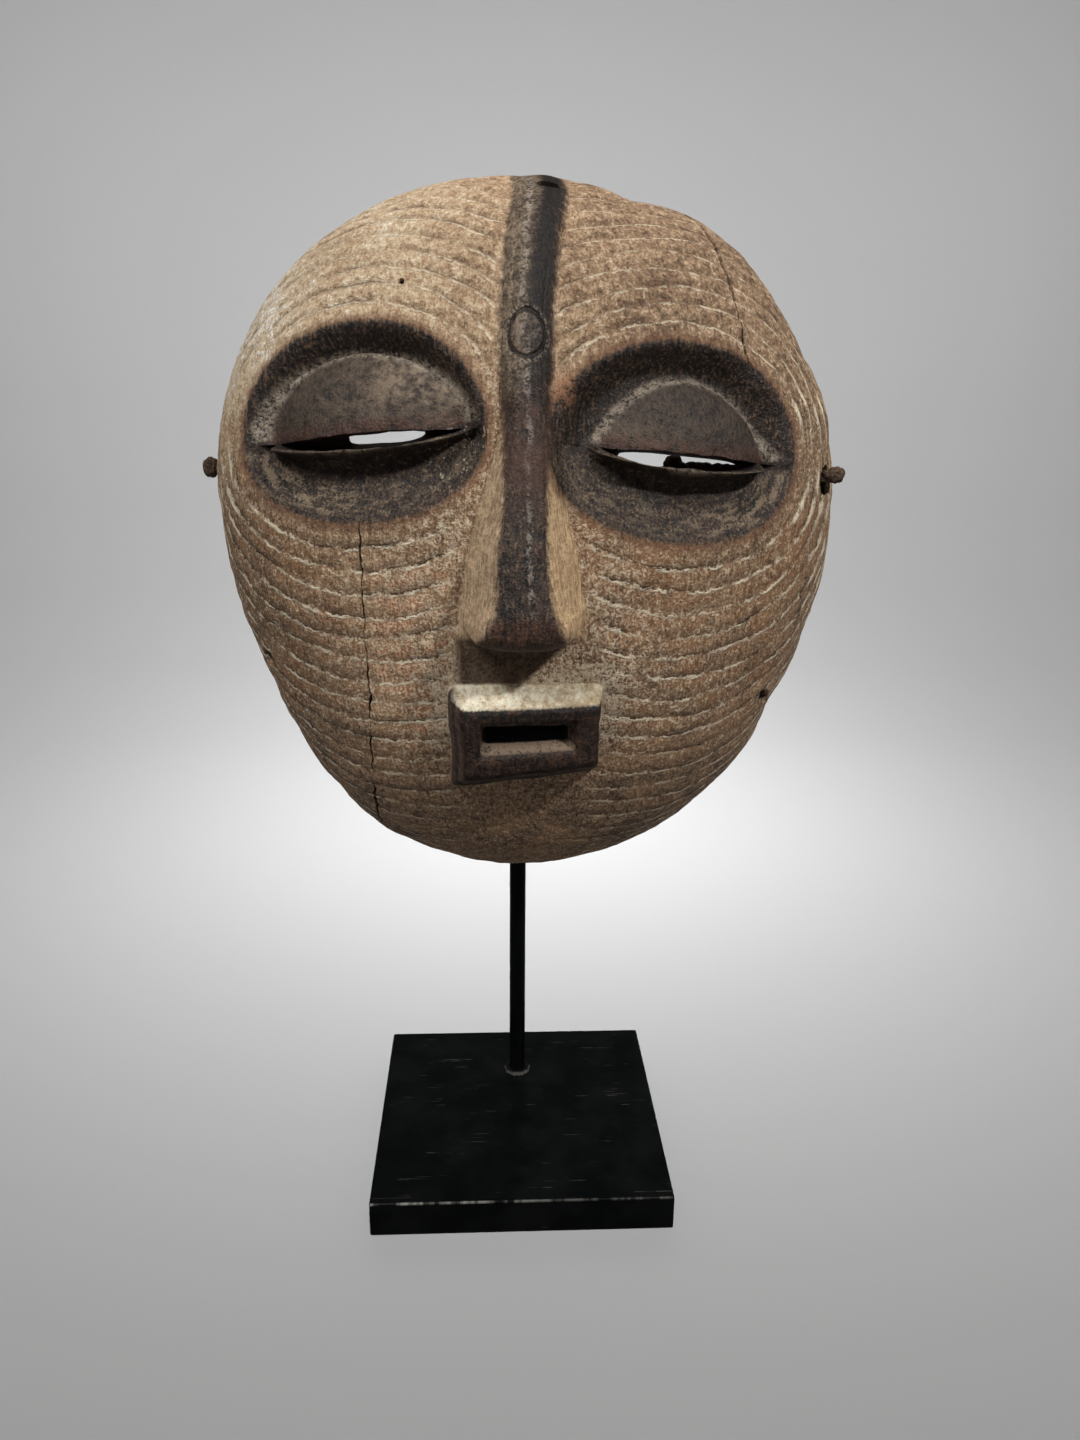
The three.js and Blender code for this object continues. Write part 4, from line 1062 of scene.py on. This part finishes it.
# The ridge: greyed on its left side, bare red-brown on the bridge and the nose's tip, with a knot ring
upper_ridge = up.step(30, 60) * ridge_paint
grey_side = (ridge_at + (blotch - 0.5) * 0.7).step(0.15, -0.35) * upper_ridge
worn_ridge = grit.step(0.40, 0.60).mix(srgb(66, 53, 42), srgb(150, 130, 106))
colour = (grey_side * 0.8).mix(colour, worn_ridge)
dark_stripe = (ridge_at + (mottle - 0.5) * 0.5 - 0.42).maths("ABSOLUTE").step(0.42, 0.2) * upper_ridge
colour = (dark_stripe * 0.85).mix(colour, srgb(17, 12, 10))
colour = (ridge_at.step(0.8, 1.0) * upper_ridge * 0.6).mix(colour, srgb(92, 70, 52))
# A painted highlight: a light streak of gloss down the ridge and the nose.
painted_gloss_streak = (ridge_at + (up - 20) * 0.004 - 0.1 + (blotch - 0.5) * 0.5).maths("ABSOLUTE").step(0.16, 0.04)
painted_gloss_streak = painted_gloss_streak * ridge_paint * grit.step(0.46, 0.56) * up.step(-44, -30)
colour = (painted_gloss_streak * 0.6).mix(colour, srgb(152, 142, 132))
bridge = up.step(50, 30) * up.step(-14, 10) * ridge_paint
colour = (bridge * blotch.step(0.3, 0.6) * 0.6).mix(colour, srgb(78, 50, 37))
bare = (((across - 17) * 0.14).maths("ABSOLUTE").step(1.0, 0.2)
        * ((up - 44) * 0.10).maths("ABSOLUTE").step(1.0, 0.2))
colour = (bare * grit.step(0.40, 0.54) * 0.6).mix(colour, srgb(158, 108, 76))
tip = up.step(-38, -44) * ridge_paint
tip_wood = (grit * 0.6 + streak * 0.4).step(0.42, 0.60).mix(srgb(36, 25, 19), srgb(96, 62, 43))
colour = (tip * 0.8).mix(colour, tip_wood)
knot_off = wood.attribute("knot")
on_knot = height.step(1.0, 2.0) * up.step(45, 50)
ring = (knot_off - 1 + (speckle - 0.5) * 0.2).maths("ABSOLUTE").step(0.14, 0.03) * on_knot
colour = (knot_off.step(0.95, 0.75) * on_knot * grit.step(0.42, 0.58) * 0.5).mix(colour, srgb(118, 102, 88))
colour = (ring * 0.8).mix(colour, srgb(26, 19, 16))
knot_edge = (knot_off - 1.2).maths("ABSOLUTE").step(0.14, 0.03) * on_knot * speckle.step(0.46, 0.6)
colour = (knot_edge * 0.5).mix(colour, srgb(140, 124, 106))

# The mouth: white clay on its upper side, a pale lower lip inside, and a slot painted near-black as shade
frame_tone = (streak * 0.3 + grit * 0.7).step(0.42, 0.64).mix(srgb(16, 9, 7), srgb(84, 58, 40))
colour = (mouth_paint * height.step(11, 13.5)).mix(colour, frame_tone)
box_side = grit.step(0.38, 0.62).mix(srgb(44, 31, 26), srgb(104, 82, 68))
colour = (mouth_paint * height.step(13.5, 11) * 0.8).mix(colour, box_side)
frame_top = (mouth_paint * wood.attribute("above_face").step(-5.0, -2.5)
             * wood.attribute("in_pocket").step(0.5, -0.5) * height.step(11, 13))
colour = (frame_top * grit.step(0.62, 0.48) * 0.7).mix(colour, srgb(13, 9, 7))
clay_white = (blotch * 0.4 + mottle * 0.6 + across.step(-25, 30) * 0.10).step(0.42, 0.68)
clay_white = clay_white.mix(srgb(250, 240, 214), srgb(194, 172, 138))
clay_white = ((speckle * 0.7 + mottle * 0.3).step(0.54, 0.66) * 0.7).mix(clay_white, srgb(104, 82, 60))
colour = (cream * off_nose * 0.95).mix(colour, clay_white)
lip = (wood.attribute("below_slot").step(-0.6, 0.4) * wood.attribute("in_pocket").step(-0.2, 0.5)
       * height.step(14.0, 12.6))
colour = (lip * height.step(7.5, 8.3) * grit.step(0.36, 0.5) * 0.8).mix(colour, srgb(134, 114, 94))
# Painted shade: the walls inside the slot are near-black.
slot_painted_shade = in_mouth.step(2, 6) * height.step(8.3, 7.6) * height.step(-13, -11)
colour = slot_painted_shade.mix(colour, srgb(12, 8, 7))

# The sides of the holes and cracks, coloured near-black
pit = height.step(-1.2, -2.6) * row.step(0.2, 0.5) * off_mouth * off_nose
colour = (pit * 0.9).mix(colour, srgb(20, 14, 11))

# The hollow and the back edge: plain dark wood, sweated smooth
inner = streak.step(0.3, 0.75).mix(srgb(82, 60, 41), srgb(50, 36, 25))
inner = (blotch.step(0.5, 0.7) * 0.5).mix(inner, srgb(38, 28, 20))
colour = hidden.mix(colour, inner)

relief = (streak * 0.5 + speckle * 0.5 + mottle * 0.7 - fleck.step(0.6, 0.7) * 0.2 - line * 0.6
          - band * 0.3 - ring * 0.8 + clay_and_highlight * 0.3)
wood.join(wood.skin, {
    "Base Color": colour,
    "Roughness": painted * (1 - cream) * -0.28 + 0.78 + speckle * 0.12,
    "Normal": wood.bump(relief, 0.0013),
    "Specular IOR Level": 0.45,
})
settle(mask)
adopt(mask, wood.material, "mask")


# Temple cord
# One length of plant fibre, laid up from three strands and darkened by handling. It is knotted
# outside both temple holes, crosses behind the eyes and has a hitch knot behind the right one.
CORD_WAY = ((-143.5, 3, 363.6), (-132, 3, 363.2), (-108, 3, 362.5), (-84, 5, 357), (-50, 8, 350),
            (-5, 9, 347), (40, 6, 350), (57, 3, 356.5), (70, -2, 364.5), (84, -7, 365.3), (98, -13, 364.6),
            (112, -20, 363.4), (130, -28.5, 363.6), (141, -33, 364.6))
LAY_LENGTH = 12
STRAND_RADIUS, WRAP_RADIUS = 1.55, 1.5
# Each knot: its middle, the way the cord runs through it, its half sizes and its turns
KNOTS = (((-143.4, 3, 363.7), (1, 0, 0), (3.9, 4.9, 5.4), 2.6),
         ((71, -2, 366.6), (0.8, -0.4, 0.4), (5.4, 4.6, 5.2), 3.4),
         ((138.8, -31.6, 364.2), (0.9, -0.4, 0.1), (5.0, 3.8, 3.7), 3.6))


def smooth_line(points, step):
    """Evenly spaced places on a smooth line through the points, with the distance along it."""
    points = np.array(points, float)
    padded = np.vstack([2 * points[0] - points[1], points, 2 * points[-1] - points[-2]])
    t = np.linspace(0, 1, 24, endpoint=False)[:, None]
    line = [0.5 * (2 * b + (c - a) * t + (2 * a - 5 * b + 4 * c - d) * t ** 2
                   + (3 * b - a - 3 * c + d) * t ** 3)
            for a, b, c, d in zip(padded, padded[1:], padded[2:], padded[3:])]
    line = np.vstack(line + [points[-1:]])
    run = np.concatenate([[0], np.cumsum(np.linalg.norm(np.diff(line, axis=0), axis=1))])
    along = np.linspace(0, run[-1], int(run[-1] / step) + 1)
    return along, np.stack([np.interp(along, run, line[:, i]) for i in range(3)], -1)


def frames(line):
    """Two directions across a line at each place, carried along it without a twist."""
    ahead = np.gradient(line, axis=0)
    ahead = ahead / np.linalg.norm(ahead, axis=1)[:, None]
    side = np.cross(ahead[0], (0.1, 0.3, 1.0))
    sides = []
    for forward in ahead:
        side = side - forward * np.dot(side, forward)
        side = side / np.linalg.norm(side)
        sides.append(side)
    sides = np.array(sides)
    return sides, np.cross(ahead, sides)


def strand(line, radius):
    """A round strand along a line, drawn in at both ends."""
    sides, ups = frames(line)
    turn = np.linspace(0, 2 * math.pi, 9, endpoint=False)
    ends = np.minimum(1, 0.35 + 0.25 * np.minimum(np.arange(len(line)), np.arange(len(line))[::-1]))
    rings = [place + radius * end * (np.cos(turn)[:, None] * side + np.sin(turn)[:, None] * up)
             for place, side, up, end in zip(line, sides, ups, ends)]
    return loft("strand", rings)


along, middle_line = smooth_line(CORD_WAY, 1.3)
sides, ups = frames(middle_line)
strands = []
for part in range(3):
    turn = 2 * math.pi * (along / LAY_LENGTH + part / 3) + 0.5 * np.sin(0.09 * along + part)
    lay = 1.36 + 0.12 * np.sin(0.5 * along + 2 * part)
    line = middle_line + lay[:, None] * (np.cos(turn)[:, None] * sides + np.sin(turn)[:, None] * ups)
    strands.append(strand(line, STRAND_RADIUS))
wraps = []
for middle, axis, size, turns in KNOTS:
    axis = np.array(axis) / np.linalg.norm(axis)
    across_knot = np.cross(axis, (0, 0.2, 1))
    across_knot = across_knot / np.linalg.norm(across_knot)
    up_knot = np.cross(across_knot, axis)
    for part in range(2):
        t = np.linspace(0, 1, 70)
        turn = 2 * math.pi * turns * t * (1 - 2 * part) + part * 2.2
        tilt = np.radians(np.interp(t, (0, 1), (-62, 62)))
        reach = 0.64 * np.cos(tilt)
        line = (np.array(middle) + (0.64 * size[0] * np.sin(tilt))[:, None] * axis
                + (size[1] * reach * np.cos(turn))[:, None] * across_knot
                + (size[2] * reach * np.sin(turn))[:, None] * up_knot)
        wraps.append(strand(line, WRAP_RADIUS))

fibre = Finish("plant_fibre")
hair = fibre.noise(fibre.place((0.35, 1.3, 1.3)), 1.6, 3.0, 0.6)
dusty_part = fibre.noise(fibre.place(), 0.35, 3.0, 0.6)
fibre_colour = hair.step(0.38, 0.64).mix(srgb(40, 29, 23), srgb(94, 74, 58))
fibre_colour = (dusty_part.step(0.5, 0.66) * 0.4).mix(fibre_colour, srgb(126, 108, 88))
fibre.join(fibre.skin, {
    "Base Color": fibre_colour,
    "Roughness": 0.85,
    "Normal": fibre.bump(hair, 0.0005),
    "Specular IOR Level": 0.25,
})
for name, loose in (("temple_cord_fibre", strands), ("temple_cord_knots", wraps)):
    bpy.ops.object.select_all(action="DESELECT")
    for part in loose:
        part.select_set(True)
    bpy.context.view_layer.objects.active = loose[0]
    bpy.ops.object.join()
    loose[0].name = name
    settle(loose[0])
    adopt(loose[0], fibre.material, "temple_cord")


# Floor, backdrop and light
# A sheet of pale paper that lies under the base and curves up behind it, with one fairly hard
# light from the front right and soft light all round.
PAPER_HALF = 2.6
PAPER_CURVE = ((-2.2, 0), (0.5, 0), (0.72, 0.012), (0.92, 0.05), (1.10, 0.12), (1.25, 0.23), (1.36, 0.38),
               (1.42, 0.56), (1.45, 0.8), (1.45, 3.0))
MASK_AIM = (0, -0.08, 0.36)

bpy.ops.object.select_all(action="DESELECT")
bpy.ops.mesh.primitive_plane_add(size=1, location=(0, 0, 0))
paper = bpy.context.object
paper.name = "backdrop"
sweep = [(side * PAPER_HALF, y, z) for y, z in PAPER_CURVE for side in (-1, 1)]
paper.data.clear_geometry()
paper.data.from_pydata(sweep, [], [(i, i + 1, i + 3, i + 2) for i in range(0, len(sweep) - 2, 2)])
for panel in paper.data.polygons:
    panel.use_smooth = True
paper_white = Finish("backdrop_paper")
grain = paper_white.noise(paper_white.place(), 0.6)
paper_white.join(paper_white.skin, {
    "Base Color": grain.mix(srgb(205, 205, 205), srgb(208, 208, 208)),
    "Roughness": 0.9,
    "Specular IOR Level": 0.2,
})
paper.data.materials.append(paper_white.material)
paper.visible_glossy = False


def lamp(kind, name, place, aim, size, power, only_paper):
    """A light that is kept off the paper, or one that falls on the paper alone."""
    light = bpy.data.lights.new(name, kind)
    light.energy = power
    if kind == "AREA":
        light.shape = "DISK"
        light.size = size
    else:
        light.shadow_soft_size = size
    lamp_object = bpy.data.objects.new(name, light)
    bpy.context.scene.collection.objects.link(lamp_object)
    lamp_object.location = place
    lamp_object.rotation_euler = (Vector(aim) - Vector(place)).to_track_quat("-Z", "Y").to_euler()
    lamp_object.light_linking.receiver_collection = just_paper if only_paper else all_but_paper
    if only_paper:
        lamp_object.light_linking.blocker_collection = just_paper
        lamp_object.visible_camera = False
    return lamp_object


just_paper = bpy.data.collections.new("just_paper")
just_paper.objects.link(paper)
all_but_paper = bpy.data.collections.new("all_but_paper")
all_but_paper.objects.link(paper)
all_but_paper.collection_objects[0].light_linking.link_state = "EXCLUDE"

lamp("AREA", "key", (0.80, -0.93, 1.27), MASK_AIM, 0.09, 14.6, False)
lamp("AREA", "fill", (-0.60, -0.80, 1.40), MASK_AIM, 0.5, 13.5, False)
lamp("AREA", "rear", (0.6, 0.9, 1.7), (0, 0, 0.36), 0.9, 30, False).visible_glossy = False
lamp("POINT", "glow_middle", (0.03, 0.46, 0.50), (0, 0.5, 0), 0.1, 11.2, True)
lamp("POINT", "glow_high", (0.03, 0.62, 0.56), (0, 0.5, 0), 0.1, 3.2, True)
for side in (-1, 1):
    lamp("POINT", "glow_side", (0.8 * side + 0.06, 0.8, 0.75), (0, 0.8, 0), 0.1, 3.0, True)
    lamp("POINT", "glow_front", (1.7 * side + 0.25, -2.7, 0.8), (0, 0, 0), 0.1, 62, True)
bpy.context.scene.world = bpy.data.worlds.new("room")
bpy.context.scene.world.use_nodes = True
sky = bpy.context.scene.world.node_tree.nodes["Background"]
sky.inputs["Color"].default_value = (1, 1, 1, 1)
sky.inputs["Strength"].default_value = 0.10
bpy.context.scene.view_settings.view_transform = "Standard"
